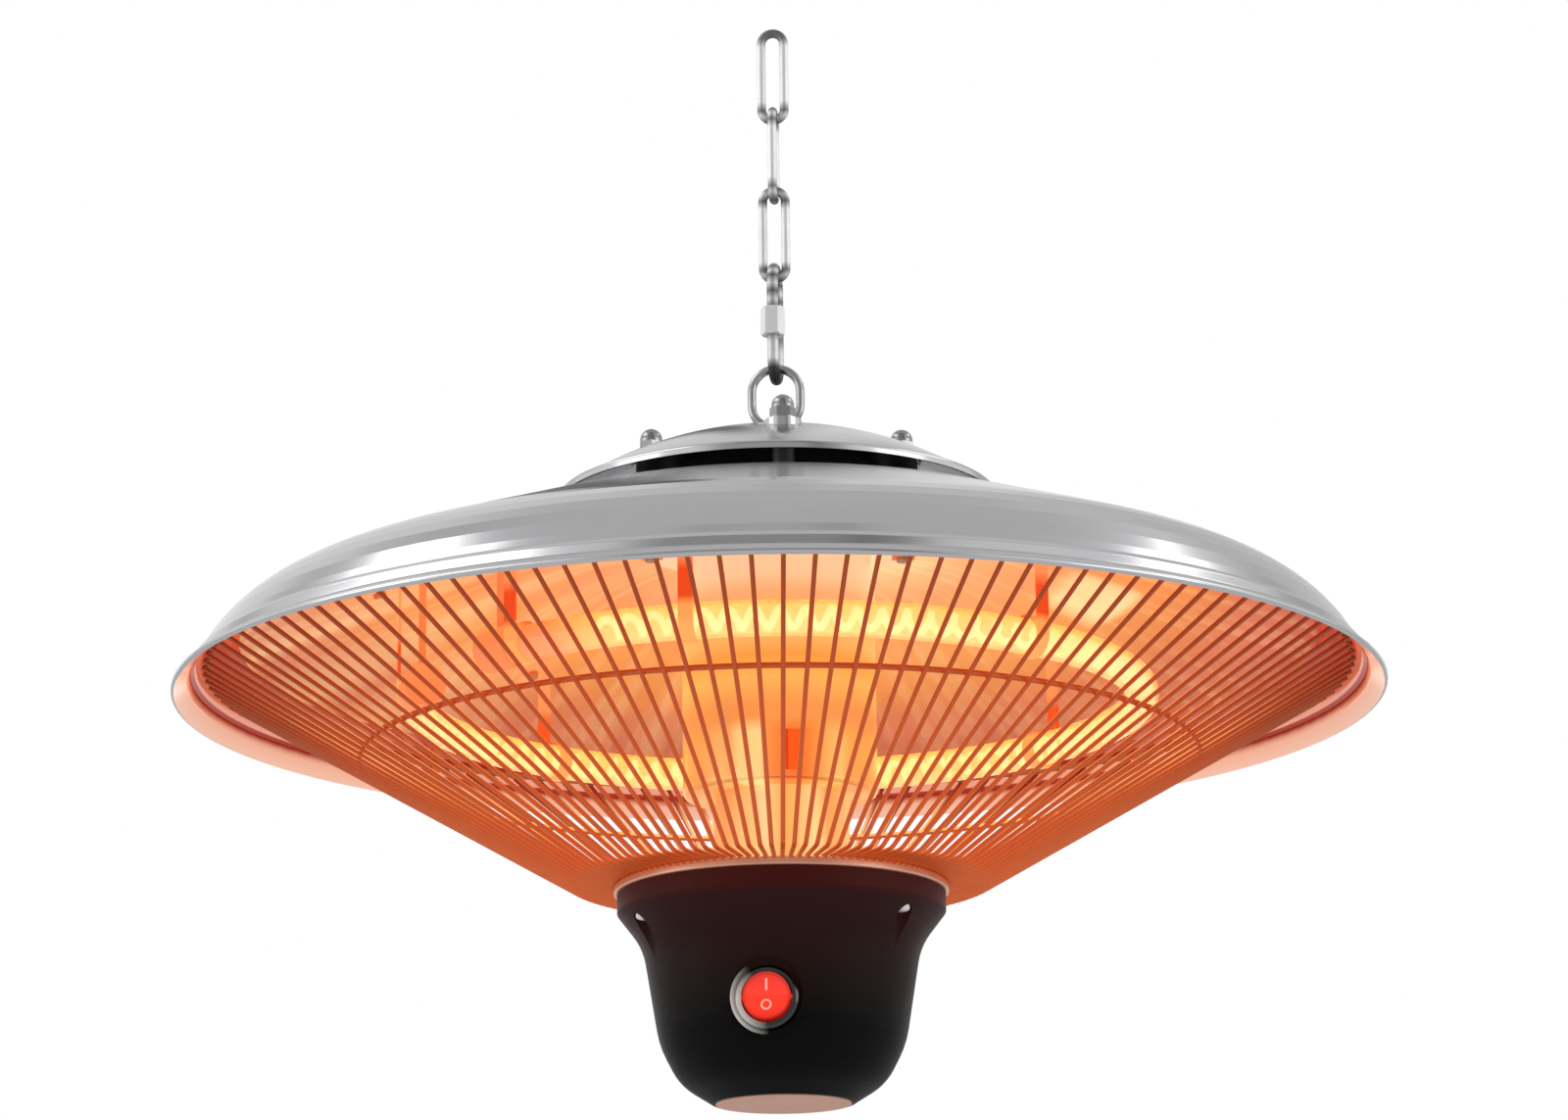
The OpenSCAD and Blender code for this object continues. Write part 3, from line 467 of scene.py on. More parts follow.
@dataclass(frozen=True)
class HotReflector(Skin):
    """Bright rolled aluminium behind a lit lamp.

    It mirrors the lamp softly. Its orange base tone and glow are painted lamplight, palest near the axis,
    with painted pale reflections, painted gleams in streaks and a painted highlight flare on the right.
    """

    name: str = "bright rolled aluminium, lamp-lit"
    # Painted lamplight: an orange base tone, and an orange glow by distance from the axis.
    tone: str = "#c08050"
    glow: Glow = Glow(Along.RADIUS, (
        (50, "#dc7038"), (85, "#dc6c30"), (108, "#e47424"), (122, "#e88424"), (133, "#e4842c"),
        (144, "#de7c2c"), (152, "#d87438"), (162, "#cc6440"), (176, "#c05848"), (186, "#ac4c40"),
        (190, "#983c34"),
    ), 0.74)
    # Painted pale reflections of the lamp: by distance from the axis, by angle round it, and in patches
    # on the left.
    pale_out: Glow = Glow(Along.RADIUS, (
        (50, "#f8f8f8"), (60, "#f4f4f4"), (72, "#d0d0d0"), (85, "#b0b0b0"), (100, "#949494"),
        (132, "#686868"), (150, "#202020"), (190, "#000000"),
    ))
    pale_round: Glow = Glow(Along.AZIMUTH, (
        (-180, "#b8b8b8"), (-142, "#d0d0d0"), (-130, "#b0b0b0"), (-118, "#c8c8c8"), (-108, "#9c9c9c"),
        (-98, "#c0c0c0"), (-86, "#909090"), (0, "#808080"), (95, "#b0b0b0"), (128, "#f0f0f0"),
        (150, "#f4f4f4"), (165, "#e8e8e8"), (180, "#b8b8b8"),
    ))
    pale_left: Glow = Glow(Along.AZIMUTH, (
        (-180, "#000000"), (-138, "#000000"), (-124, "#909090"), (-118, "#a0a0a0"), (-113, "#404040"),
        (-107, "#a8a8a8"), (-101, "#a0a0a0"), (-92, "#303030"), (-87, "#b4b4b4"), (-80, "#989898"),
        (-72, "#606060"), (-64, "#000000"), (180, "#000000"),
    ))
    # A painted highlight flare on the right: by angle round the axis and by distance from it.
    flare_round: Glow = Glow(Along.AZIMUTH, (
        (-180, "#000000"), (100, "#000000"), (104, "#e8e8e8"), (110, "#ffffff"), (120, "#ffffff"),
        (124, "#c8c8c8"), (127, "#000000"), (180, "#000000"),
    ))
    flare_out: Glow = Glow(Along.RADIUS, (
        (50, "#000000"), (102, "#000000"), (111, "#f0f0f0"), (128, "#ffffff"), (132, "#000000"),
        (190, "#000000"),
    ))
    roughness: float = 0.36
    roll_mm: float = 5.0
    roll_rough: float = 0.12
    roll_stretch: Triple = (1.0, 0.06, 1.0)
    cloud_mm: float = 34.0
    # Painted gleams: streaks round the axis, their spread, share and tone, and the painted flare's tone.
    streak_mm: float = 7.0
    streak_drift: float = 9.0
    streak_range: Pair = (0.5, 0.75)
    streak_share: float = 0.32
    streak_tone: str = "#ffe2a0"
    flare_tone: str = "#fff6b0"

    def sockets(self, nodes: SkinNodes) -> dict[str, Any]:
        """Builds the marks of the rolls and the painted lamplight on the sheet: its glow, pale
        reflections, gleams and flare.

        Args:
            nodes: The material's tree.

        Returns:
            The values and outputs for the shader's sockets.
        """
        roll = nodes.noise(self.roll_mm, 3.0, nodes.vector("MULTIPLY", nodes.point, self.roll_stretch))
        streak = nodes.add("ShaderNodeTexNoise", {
            "W": nodes.calc("MULTIPLY", nodes.azimuth(nodes.point), LAMP_R / self.streak_mm),
            "Vector": nodes.vector("SCALE", nodes.point, Scale=self.streak_drift),
            "Scale": 1.0, "Detail": 3.0,
        }, noise_dimensions="4D").outputs["Fac"]
        # Painted light: pale reflections and gleams mixed into the painted glow, then the painted flare.
        bathed = nodes.calc("MULTIPLY", self.pale_out.colour(nodes), self.pale_round.colour(nodes))
        bathed = nodes.calc("MAXIMUM", bathed, self.pale_left.colour(nodes))
        streaks = nodes.between(streak, *self.streak_range)
        pale = nodes.calc("MULTIPLY_ADD", streaks, self.streak_share, bathed, clamp=True)
        light = nodes.mix(pale, self.glow.colour(nodes), linear(self.streak_tone))
        flare = nodes.calc("MULTIPLY", self.flare_round.colour(nodes), self.flare_out.colour(nodes))
        return {
            "Base Color": linear(self.tone), "Metallic": 1.0, "Normal": nodes.bump(roll, 0.6, 0.05),
            "Roughness": nodes.varied(self.roughness - self.roll_rough / 2, (roll, self.roll_rough)),
            "Emission Color": nodes.mix(flare, light, linear(self.flare_tone)),
            "Emission Strength": nodes.patchy(nodes.noise(self.cloud_mm, 3.0), self.glow.strength),
        }


@dataclass(frozen=True)
class GrainedSkin(Skin):
    """A skin with a fine grain, and with broader patches that handling has dulled."""

    tone: str
    roughness: float
    grain_mm: float
    depth_mm: float = 0.01
    patch_mm: float = 26.0
    grain_detail: float = 3.0
    patch_detail: float = 4.0
    patch_light: float = 0.86
    relief: float = 0.4
    uneven: float = 0.1

    def sockets(self, nodes: SkinNodes) -> dict[str, Any]:
        """Builds the grain and the patches.

        Args:
            nodes: The material's tree.

        Returns:
            The values and outputs for the shader's sockets.
        """
        grain = nodes.noise(self.grain_mm, self.grain_detail)
        patch = nodes.noise(self.patch_mm, self.patch_detail)
        smooth = self.roughness - self.uneven / 2
        return {
            "Base Color": nodes.mix(patch, linear(self.tone), linear(self.tone, self.patch_light)),
            "Roughness": nodes.varied(smooth, (grain, self.uneven), (patch, self.uneven)),
            "Normal": nodes.bump(grain, self.relief, self.depth_mm),
        }


@dataclass(frozen=True)
class PolishedSteel(GrainedSkin):
    """Steel drawn or turned and then plated: bright, with faint marks along its grain.

    Its glow is painted lamplight. The lamp's side is painted lamplight on faces that look at the lamp,
    and fades out between two radii. The inside is a painted glow on a tube's inner faces. The upper glow,
    painted reflected light, takes over between two heights.
    """

    patch_mm: float = 9.0
    grain_detail: float = 4.0
    patch_detail: float = 2.0
    patch_light: float = 0.84
    relief: float = 0.35
    glow: Glow | None = None
    painted_shade: Glow | None = None
    painted_lamp_side: str = ""
    lamp_turn: Pair = (0.25, 0.75)
    lamp_reach: Pair = (168.0, 190.0)
    far_light: float = 0.1
    inside: str = ""
    inside_turn: float = -0.4
    upper: Glow | None = None
    upper_z: Pair = (-17.0, -12.0)

    def lamplight(self, nodes: SkinNodes) -> Any:
        """Builds the painted lamplight on the piece.

        Args:
            nodes: The material's tree.

        Returns:
            The colour output.
        """
        light = self.glow.colour(nodes)
        if self.upper:
            low, high = ((RIM_Z + z) * MM for z in self.upper_z)
            above = nodes.between(nodes.part(nodes.point, Z), low, high)
            light = nodes.mix(above, light, self.upper.colour(nodes))
        if self.painted_lamp_side:
            near, far = (r * MM for r in self.lamp_reach)
            lit = nodes.between(nodes.turned_to_lamp(), *self.lamp_turn)
            reached = nodes.between(nodes.radius(), near, far, 1.0, self.far_light)
            lit = nodes.calc("MULTIPLY", lit, reached)
            light = nodes.mix(lit, light, linear(self.painted_lamp_side))
        if self.inside:
            inner = nodes.calc("LESS_THAN", nodes.turned_to(nodes.outward()), self.inside_turn)
            light = nodes.mix(inner, light, linear(self.inside))
        return light

    def sockets(self, nodes: SkinNodes) -> dict[str, Any]:
        """Builds the plated metal, its stain and its glow.

        Args:
            nodes: The material's tree.

        Returns:
            The values and outputs for the shader's sockets.
        """
        sockets = {**super().sockets(nodes), "Metallic": 1.0}
        if self.glow:
            sockets["Emission Color"] = self.lamplight(nodes)
            sockets["Emission Strength"] = self.glow.strength
        # Painted shade: darkens the tone and the glow.
        if self.painted_shade:
            for key in ("Base Color", "Emission Color"):
                if key in sockets:
                    painted_shade = self.painted_shade.colour(nodes)
                    sockets[key] = nodes.mix(1.0, sockets[key], painted_shade, blend_type="MULTIPLY")
        return sockets


@dataclass(frozen=True)
class Coating(GrainedSkin):
    """A non-metal skin such as paint, moulded plastic, rubber or glaze, with its own grain.

    A ring round the switch lies between two radii and carries a painted highlight, a pale crescent to one
    side at the front. A dark edge fades the glow between two radii.
    """

    coat: float = 0.0
    coat_roughness: float = 0.12
    sheen: float = 0.0
    shine: float = 0.5
    glow: Glow | None = None
    dark_edge: Pair | None = None
    edge_glow: float = 0.25
    painted_highlight_ring: Pair | None = None
    ring_tone: str = "#e4e4e0"
    ring_side: Triple = (-0.96, 0.0, -0.28)
    ring_range: Pair = (0.25, 0.95)
    ring_light: float = 0.95
    ring_front: float = -30.0

    def crescent(self, nodes: SkinNodes) -> Any:
        """Builds the painted highlight crescent on the ring.

        Args:
            nodes: The material's tree.

        Returns:
            The output that gives its share, from 0 to 1.
        """
        inner_r, outer_r = self.painted_highlight_ring
        out = nodes.from_switch()
        away = nodes.vector("LENGTH", out)
        ring = nodes.calc("COMPARE", away, (inner_r + outer_r) / 2 * MM, (outer_r - inner_r) / 2 * MM)
        front = nodes.calc("LESS_THAN", nodes.part(nodes.point, Y), self.ring_front * MM)
        side = nodes.vector("DOT_PRODUCT", nodes.vector("NORMALIZE", out), self.ring_side)
        caught = nodes.between(side, *self.ring_range, at_high=self.ring_light)
        return nodes.calc("MULTIPLY", nodes.calc("MULTIPLY", ring, front), caught)

    def sockets(self, nodes: SkinNodes) -> dict[str, Any]:
        """Builds the coating, its painted highlight ring and its glow.

        Args:
            nodes: The material's tree.

        Returns:
            The values and outputs for the shader's sockets.
        """
        sockets = super().sockets(nodes)
        sockets.update({
            "Specular IOR Level": self.shine, "Coat Weight": self.coat,
            "Coat Roughness": self.coat_roughness, "Sheen Weight": self.sheen,
        })
        # A painted pale highlight crescent, mixed into the base tone.
        if self.painted_highlight_ring:
            tones = sockets["Base Color"], linear(self.ring_tone)
            sockets["Base Color"] = nodes.mix(self.crescent(nodes), *tones)
        # The glow: painted lamplight on the bell, the ceramic and the sleeve; the lit switch's own light
        # on the rocker and its marks.
        if self.glow:
            strength = self.glow.strength
            if self.dark_edge:
                bright_r, dark_r = (r * MM for r in self.dark_edge)
                away = nodes.vector("LENGTH", nodes.from_switch())
                strength = nodes.between(away, bright_r, dark_r, strength, self.edge_glow)
            sockets.update({"Emission Color": self.glow.colour(nodes), "Emission Strength": strength})
        return sockets


@dataclass(frozen=True)
class HotQuartz(Skin):
    """Clear quartz glass with a gold film, lit from inside by the coil."""

    name: str = "gold-filmed quartz glass, lit"
    tone: str = "#ffe8d0"
    glow: str = "#ffa850"
    cold_glow: str = "#d86028"
    strength: float = 0.4
    fade_arc: float = 9.0
    film_mm: float = 11.0

    def sockets(self, nodes: SkinNodes) -> dict[str, Any]:
        """Builds the uneven film, the glow and the cold end.

        Args:
            nodes: The material's tree.

        Returns:
            The values and outputs for the shader's sockets.
        """
        film = nodes.noise(self.film_mm, 3.0)
        turn = nodes.calc("SUBTRACT", nodes.azimuth(nodes.point), math.radians(LAMP_START))
        turn = nodes.calc("FLOORED_MODULO", turn, math.tau)
        fade = (math.radians(arc) for arc in (LAMP_COLD_ARC - self.fade_arc, LAMP_COLD_ARC))
        light = nodes.mix(nodes.between(turn, *fade), linear(self.cold_glow), linear(self.glow))
        return {
            "Base Color": linear(self.tone), "Roughness": 0.08, "Transmission Weight": 0.6, "IOR": 1.46,
            "Normal": nodes.bump(film, 0.15, 0.05),
            "Emission Color": light, "Emission Strength": nodes.patchy(film, self.strength),
        }


@dataclass(frozen=True)
class GlowingCoil(Skin):
    """Resistance wire at working heat: yellow-white, with patches a little darker, as where its supports
    cool it.
    """

    name: str = "resistance wire at yellow heat"
    tone: str = "#6a4a30"
    hot: str = "#ffd8b0"
    cool: str = "#ffbc80"
    strength: float = 2.8
    patch_mm: float = 16.0

    def sockets(self, nodes: SkinNodes) -> dict[str, Any]:
        """Builds the wire's heat.

        Args:
            nodes: The material's tree.

        Returns:
            The values and outputs for the shader's sockets.
        """
        patch = nodes.noise(self.patch_mm, 1.0)
        return {
            "Base Color": linear(self.tone), "Metallic": 0.6, "Roughness": 0.5,
            "Emission Color": nodes.mix(patch, linear(self.hot), linear(self.cool)),
            "Emission Strength": self.strength,
        }


class Finish(Enum):
    """Every finish on the heater, named for what the real one is. Several also carry painted lamplight,
    painted reflections, painted highlights or painted shade.
    """

    # Lathe-polished sheet: long soft highlights drawn out in rings, and under it painted lamplight:
    # painted tones, a painted glow and a painted dark crease near the brim.
    SHADE = SpunSheet("polished spun aluminium", "#cfcfd1", 0.13, painted_under_light=Glow(Along.RADIUS, (
        (196, "#78281a"), (201.4, "#742618"), (202.4, "#a86048"), (204, "#a86048"), (204.5, "#74180c"),
        (205.7, "#74180c"), (206.3, "#b0785c"), (213, "#ac8c78"),
    )), painted_under_tone=Glow(Along.RADIUS, (
        (196, "#d48470"), (201.4, "#cc7864"), (202.4, "#dea090"), (204, "#dea090"), (204.5, "#9c3c2c"),
        (205.7, "#9c3c2c"), (206.3, "#dea490"), (213, "#e6b8a8"),
    )))
    # Satin spun sheet: the same rings, with wider and softer bands of light.
    CAP = SpunSheet("satin spun aluminium", "#cacacc", 0.15, 1.2)
    # Rolled sheet round the lamp: soft reflections, with painted gleams in a bath of painted orange
    # lamplight.
    REFLECTOR = HotReflector()
    # Zinc on wire: pale straights, and painted shade darkening the bends where a link turns from the
    # light.
    CHAIN = PolishedSteel(
        "zinc-plated steel wire, bright", "#fafafa", 0.5, 3.0, 0.002, painted_shade=Glow(Along.HEIGHT, (
            (116, "#484848"), (121, "#585858"), (124, "#f0f0f0"), (130, "#e8e8e8"), (134, "#a0a0a0"),
            (143, "#787878"), (146, "#e0e0e0"), (149, "#707070"), (152, "#e8e8e8"), (155, "#6c6c6c"),
            (157, "#e8e8e8"), (159, "#808080"), (162, "#ffffff"), (182, "#ffffff"), (185, "#808080"),
            (187.5, "#f0f0f0"), (189.5, "#888888"), (193, "#ffffff"), (212, "#ffffff"),
            (215, "#808080"), (217.5, "#f0f0f0"), (219.5, "#888888"), (223, "#ffffff"),
            (244, "#ffffff"), (247, "#909090"), (251, "#7c7c7c"),
        )),
    )
    # Smooth zinc on a forging: clear small highlights with a little cloudiness.
    EYE = PolishedSteel("forged steel eye, bright zinc", "#b8b8ba", 0.2, 3.0, 0.004)
    # Plated turned brass: crisp glints on the domes and dark flanks.
    NUT = PolishedSteel("nickel-plated turned brass", "#a6a6a8", 0.12, 3.0)
    # Zinc plate: an even grey shine with fine mottling.
    STEEL = PolishedSteel("zinc-plated steel", "#a8aaac", 0.30, 1.6)
    # Bright nickel: a soft white gleam.
    SCREW = PolishedSteel("bright nickel-plated steel", "#f8f8f8", 0.55, 1.6)
    # Zinc plate beside the lamp: a dull shine, with a copper base tone and glow that are painted
    # lamplight.
    LIT_STEEL = PolishedSteel(
        "zinc-plated steel, lamp-lit", "#c88868", 0.3, 1.6,
        glow=Glow(Along.HEIGHT, ((-20, "#802808"), (60, "#903818"))),
    )
    # Chromed wire: a copper-brown tone and glow that are painted lamplight, with painted golden lamplight
    # on the lamp's side.
    GUARD = PolishedSteel(
        "chromed steel wire, painted lamplight", "#b05c38", 0.34, 1.2, glow=Glow(Along.RADIUS, (
            (52, "#34100a"), (56.5, "#4c180c"), (60, "#8c3814"), (75, "#983c18"), (110, "#903c18"),
            (150, "#7c2c14"), (176, "#541a0e"), (196, "#40100e"), (202, "#300c0c"),
        )), painted_lamp_side="#f8bc74",
    )
    # Chromed tube: a warm base tone and painted reflections of the lamp in upright bands, from pale gold
    # to deep orange, with a painted orange glow inside and painted pale reflected light above.
    COLUMN = PolishedSteel(
        "chromed steel tube, lamp-lit", "#b08058", 0.2, 6.0, 0.004, 30.0, glow=Glow(Along.AZIMUTH, (
            (-180, "#c87838"), (-90, "#f0b060"), (-60, "#e8984c"), (-45, "#e89450"), (-30, "#f4b068"),
            (-24, "#e8a45c"), (-18, "#fcd488"), (-4, "#fcd890"), (0, "#e08844"), (8, "#e8682c"),
            (20, "#e85c20"), (28, "#f08034"), (38, "#f0a858"), (45, "#fcb868"), (52, "#f09c50"),
            (70, "#f09448"), (90, "#f8b05c"), (180, "#c87838"),
        ), 0.82), inside="#f05c20", upper=Glow(Along.HEIGHT, (
            (-16, "#e4924c"), (-8, "#e6954f"), (2, "#eebb5e"), (10, "#e99e48"), (16, "#ecb868"),
            (26, "#e8a860"), (33, "#eeb27c"), (38, "#ebcc9c"), (42, "#ebd0a4"),
        )),
    )
    # The same chrome on a thinner tube: a warm base tone, finer painted reflection bands, palest in the
    # middle, and a painted orange glow inside.
    NECK = PolishedSteel(
        "chromed steel neck, lamp-lit", "#a88058", 0.2, 6.0, 0.004, 30.0, glow=Glow(Along.AZIMUTH, (
            (-180, "#d88c48"), (-90, "#f8b868"), (-60, "#e8904c"), (-33, "#e8904c"), (-16, "#f8c078"),
            (-6, "#fcdca0"), (2, "#f4c47c"), (9, "#ecac54"), (18, "#f4bc68"), (33, "#f8cc84"),
            (50, "#e89448"), (75, "#f8b868"), (90, "#f0a850"), (180, "#d88c48"),
        ), 0.82), inside="#f85818",
    )
    # Chromed pressing: a warm base tone and a pale bead of painted lamplight, over a skirt darkened by
    # painted shade.
    COLLAR = PolishedSteel(
        "chromed steel pressing, lamp-lit", "#cca494", 0.22, 5.0, glow=Glow(Along.RADIUS, (
            (0, "#280c06"), (55, "#2c0c06"), (56.4, "#845038"), (58.2, "#6a4430"),
        )), painted_shade=Glow(Along.RADIUS, (
            (0, "#805040"), (55, "#805040"), (56.4, "#ffffff"), (58, "#ffffff"),
        )),
    )
    # Nickel-plated strip at the lamp: a warm base tone and a glow that are painted lamplight, red in its
    # middle and pale orange at its ends.
    HOLDER = PolishedSteel(
        "nickel-plated spring steel, lamp-lit", "#b87050", 0.28, 1.2, glow=Glow(Along.HEIGHT, (
            (-8, "#f0a058"), (4, "#f09c50"), (7, "#cc3c12"), (16, "#c83810"), (21, "#e08850"),
            (42, "#e09460"),
        )),
    )
    # Powder coat: a deep black with a fine matt grain.
    PLATE = Coating("black powder-coated steel", "#0c0c0c", 0.55, 0.5, 0.02)
    # Satin enamel: near black, with faint highlights, a painted red-brown lamplight glow towards its
    # flange, and a painted pale highlight crescent round the switch.
    BELL = Coating(
        "satin black stove enamel", "#0a0a0a", 0.4, 0.9, 0.008, shine=0.07, glow=Glow(Along.HEIGHT, (
            (-118, "#000000"), (-96, "#1c0c09"), (-77, "#260c0a"), (-74, "#380c08"), (-68, "#3a0e0a"),
        )), painted_highlight_ring=(8.4, 12.6),
    )
    # Moulded polyamide: a pale, even skin whose peach warmth is painted lamplight.
    DISC = Coating("pale moulded polyamide", "#dca890", 0.5, 1.0)
    # Glossy moulding: black, with sharp highlights and a painted pale highlight crescent on its rim.
    BEZEL = Coating(
        "glossy black polyamide", "#0b0b0b", 0.2, 0.6, 0.004, coat=0.6, painted_highlight_ring=(8.5, 12.6),
    )
    # Moulded polyamide: a plain mid grey with a soft shine.
    BODY = Coating("grey moulded polyamide", "#4a4a4c", 0.5, 0.8)
    # Moulded polyamide: a plain ivory with a soft shine.
    BLOCK = Coating("ivory moulded polyamide", "#d8d2bc", 0.5, 0.8)
    # Moulded rubber: a dead black that hardly shines.
    RUBBER = Coating("black moulded rubber", "#121212", 0.7, 0.6, 0.03)
    # Glazed steatite: a pale glaze, with an orange base tone and glow that are painted lamplight.
    CERAMIC = Coating(
        "glazed steatite ceramic, lamp-lit", "#c87c54", 0.4, 1.4, coat=0.1, glow=Glow(Along.HEIGHT, (
            (-8, "#cc6c38"), (0, "#d07440"), (8, "#d88048"), (40, "#c86c3c"),
        )),
    )
    # Glass-fibre braid: a rough, matt weave, with an orange base tone and glow that are painted
    # lamplight.
    SLEEVE = Coating(
        "braided glass-fibre sleeve, lamp-lit", "#c8805c", 0.8, 0.7, 0.08, sheen=0.1,
        glow=Glow(Along.HEIGHT, ((0, "#b04418"), (10, "#c46430"), (50, "#c87044"))),
    )
    # Tinned brass: a warm, soft shine.
    BRASS = PolishedSteel("tinned brass blade", "#c8a860", 0.3, 1.0)
    # Lit polycarbonate: a clear red that glows from inside and darkens at its edge.
    ROCKER = Coating(
        "lit red polycarbonate", "#d8200c", 0.25, 0.9, 0.003, coat=0.5, glow=Glow(Along.HEIGHT, (
            (-119.5, "#d81c0c"), (-114, "#f83820"), (-109, "#f83820"), (-103, "#d02010"),
        ), 0.66), dark_edge=(6.9, 7.7),
    )
    # Pad-printed lacquer: flat pale marks on the red.
    MARK = Coating(
        "pale pad-printed lacquer", "#ffa090", 0.5, 0.3, 0.002,
        glow=Glow(Along.HEIGHT, ((-119.5, "#e88070"), (-103, "#e88070"))),
    )
    # Gold-filmed quartz: a clear tube full of orange light, dimmer at its cold end.
    QUARTZ = HotQuartz()
    # Wire at working heat: yellow-white turns.
    COIL = GlowingCoil()

    def made(self) -> bpy.types.Material:
        """Gives the finish's material."""
        return self.value.made()


def dress(finish: Finish, *names: str) -> None:
    """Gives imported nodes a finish.

    Args:
        finish: The finish.
        *names: The nodes.
    """
    for name in names:
        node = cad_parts[name]
        node.data.materials.clear()
        node.data.materials.append(finish.made())
        log.info("%s is %s", name, finish.value.name)


def round_angles(sides: int) -> list[float]:
    """Gives the angles of a turned piece's sides."""
    return [math.tau * i / sides for i in range(sides)]


def skin_of(name: str) -> BVHTree:
    """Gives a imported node's surface, to measure on."""
    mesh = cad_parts[name].data
    return BVHTree.FromPolygons([v.co[:] for v in mesh.vertices], [p.vertices[:] for p in mesh.polygons])


def formed_mesh(name: str, form: bmesh.types.BMesh) -> bpy.types.Mesh:
    """Ends a form as a mesh whose faces all look outward.

    Args:
        name: The mesh's name.
        form: The form, which is freed.

    Returns:
        The mesh.
    """
    bmesh.ops.recalc_face_normals(form, faces=form.faces)
    mesh = bpy.data.meshes.new(name)
    form.to_mesh(mesh)
    form.free()
    return mesh


def new_piece(name: str, mesh: bpy.types.Mesh, finish: Finish, body: str) -> bpy.types.Object:
    """Adds a piece of the heater's own.

    Args:
        name: The piece's name.
        mesh: Its mesh, in place.
        finish: Its finish.
        body: The body that it rides on.

    Returns:
        The new object.
    """
    piece = add_object(name, mesh)
    mesh.materials.clear()
    mesh.materials.append(finish.made())
    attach(piece, body)
    log.info("%s: %d faces", name, len(mesh.polygons))
    return piece


class MeshTree(Nodes):
    """A geometry tree with named inputs, which grows plain meshes."""

    def __init__(self, name: str, floats: Iterable[str], wholes: Iterable[str]) -> None:
        """Starts the tree.

        Args:
            name: The tree's name.
            floats: Its inputs that take lengths and angles.
            wholes: Its inputs that take whole numbers.
        """
        super().__init__(bpy.data.node_groups.new(name, "GeometryNodeTree"))
        sockets = self.tree.interface
        sockets.new_socket("Geometry", in_out="OUTPUT", socket_type="NodeSocketGeometry")
        for kind, titles in (("NodeSocketFloat", floats), ("NodeSocketInt", wholes)):
            for title in titles:
                sockets.new_socket(title, in_out="INPUT", socket_type=kind)
        self.given = self.add("NodeGroupInput").outputs

    def close(self, geometry: Any, finish: Finish) -> None:
        """Ends the tree with real, smooth geometry that has its material.

        Args:
            geometry: The output that gives its geometry.
            finish: The finish of the result.
        """
        real = self.add("GeometryNodeRealizeInstances", {0: geometry})
        smooth = self.add("GeometryNodeSetShadeSmooth", {0: real.outputs[0]})
        dressed = self.add("GeometryNodeSetMaterial", {0: smooth.outputs[0], "Material": finish.made()})
        self.add("NodeGroupOutput", {0: dressed.outputs[0]})

    def grow(self, name: str, sizes: Mapping[str, Any]) -> bpy.types.Mesh:
        """Grows a mesh.

        Args:
            name: The mesh's name.
            sizes: A value for each of the tree's inputs.

        Returns:
            The evaluated mesh, with nothing live on it.
        """
        seed = add_object(name + "_seed", bpy.data.meshes.new(name + "_seed"))
        modifier = seed.modifiers.new("grow", "NODES")
        modifier.node_group = self.tree
        for item in self.tree.interface.items_tree:
            if item.name in sizes:
                modifier[item.identifier] = sizes[item.name]
        bpy.context.view_layer.update()
        evaluated = seed.evaluated_get(bpy.context.evaluated_depsgraph_get())
        mesh = bpy.data.meshes.new_from_object(evaluated)
        mesh.name = name
        seed.modifiers.remove(modifier)
        bpy.data.objects.remove(seed)
        return mesh


@dataclass
class Chain:
    """The chain, the quick link and the eye that the heater hangs from."""

    links: tuple[str, ...] = ("chain_link_top", "chain_link_middle", "chain_link_bottom")

    def build(self) -> None:
        """Dresses the hanging gear."""
        dress(Finish.CHAIN, *self.links, "quick_link")
        dress(Finish.EYE, "hanging_eye", "eye_washer")
        dress(Finish.SCREW, "quick_link_sleeve")
        dress(Finish.STEEL, "eye_nut")


@dataclass
class Cap:
    """The cap, what bolts it down, and the black can under it."""

    def build(self) -> None:
        """Dresses the cap's pieces."""
        dress(Finish.CAP, "top_cap")
        dress(Finish.NUT, "cap_acorn_nuts", "cap_washers")
        dress(Finish.STEEL, "cap_studs", "cap_spacers", "crown_spacers")
        dress(Finish.LIT_STEEL, "stud_nuts")
        dress(Finish.PLATE, "hanger_plate", "terminal_can")
        dress(Finish.RUBBER, "cable_grommet")
        dress(Finish.BLOCK, "terminal_block")


@dataclass
class Shade:
    """The spun shade and the reflector inside it."""

    def build(self) -> None:
        """Dresses both sheets."""
        dress(Finish.SHADE, "shade")
        dress(Finish.REFLECTOR, "reflector")


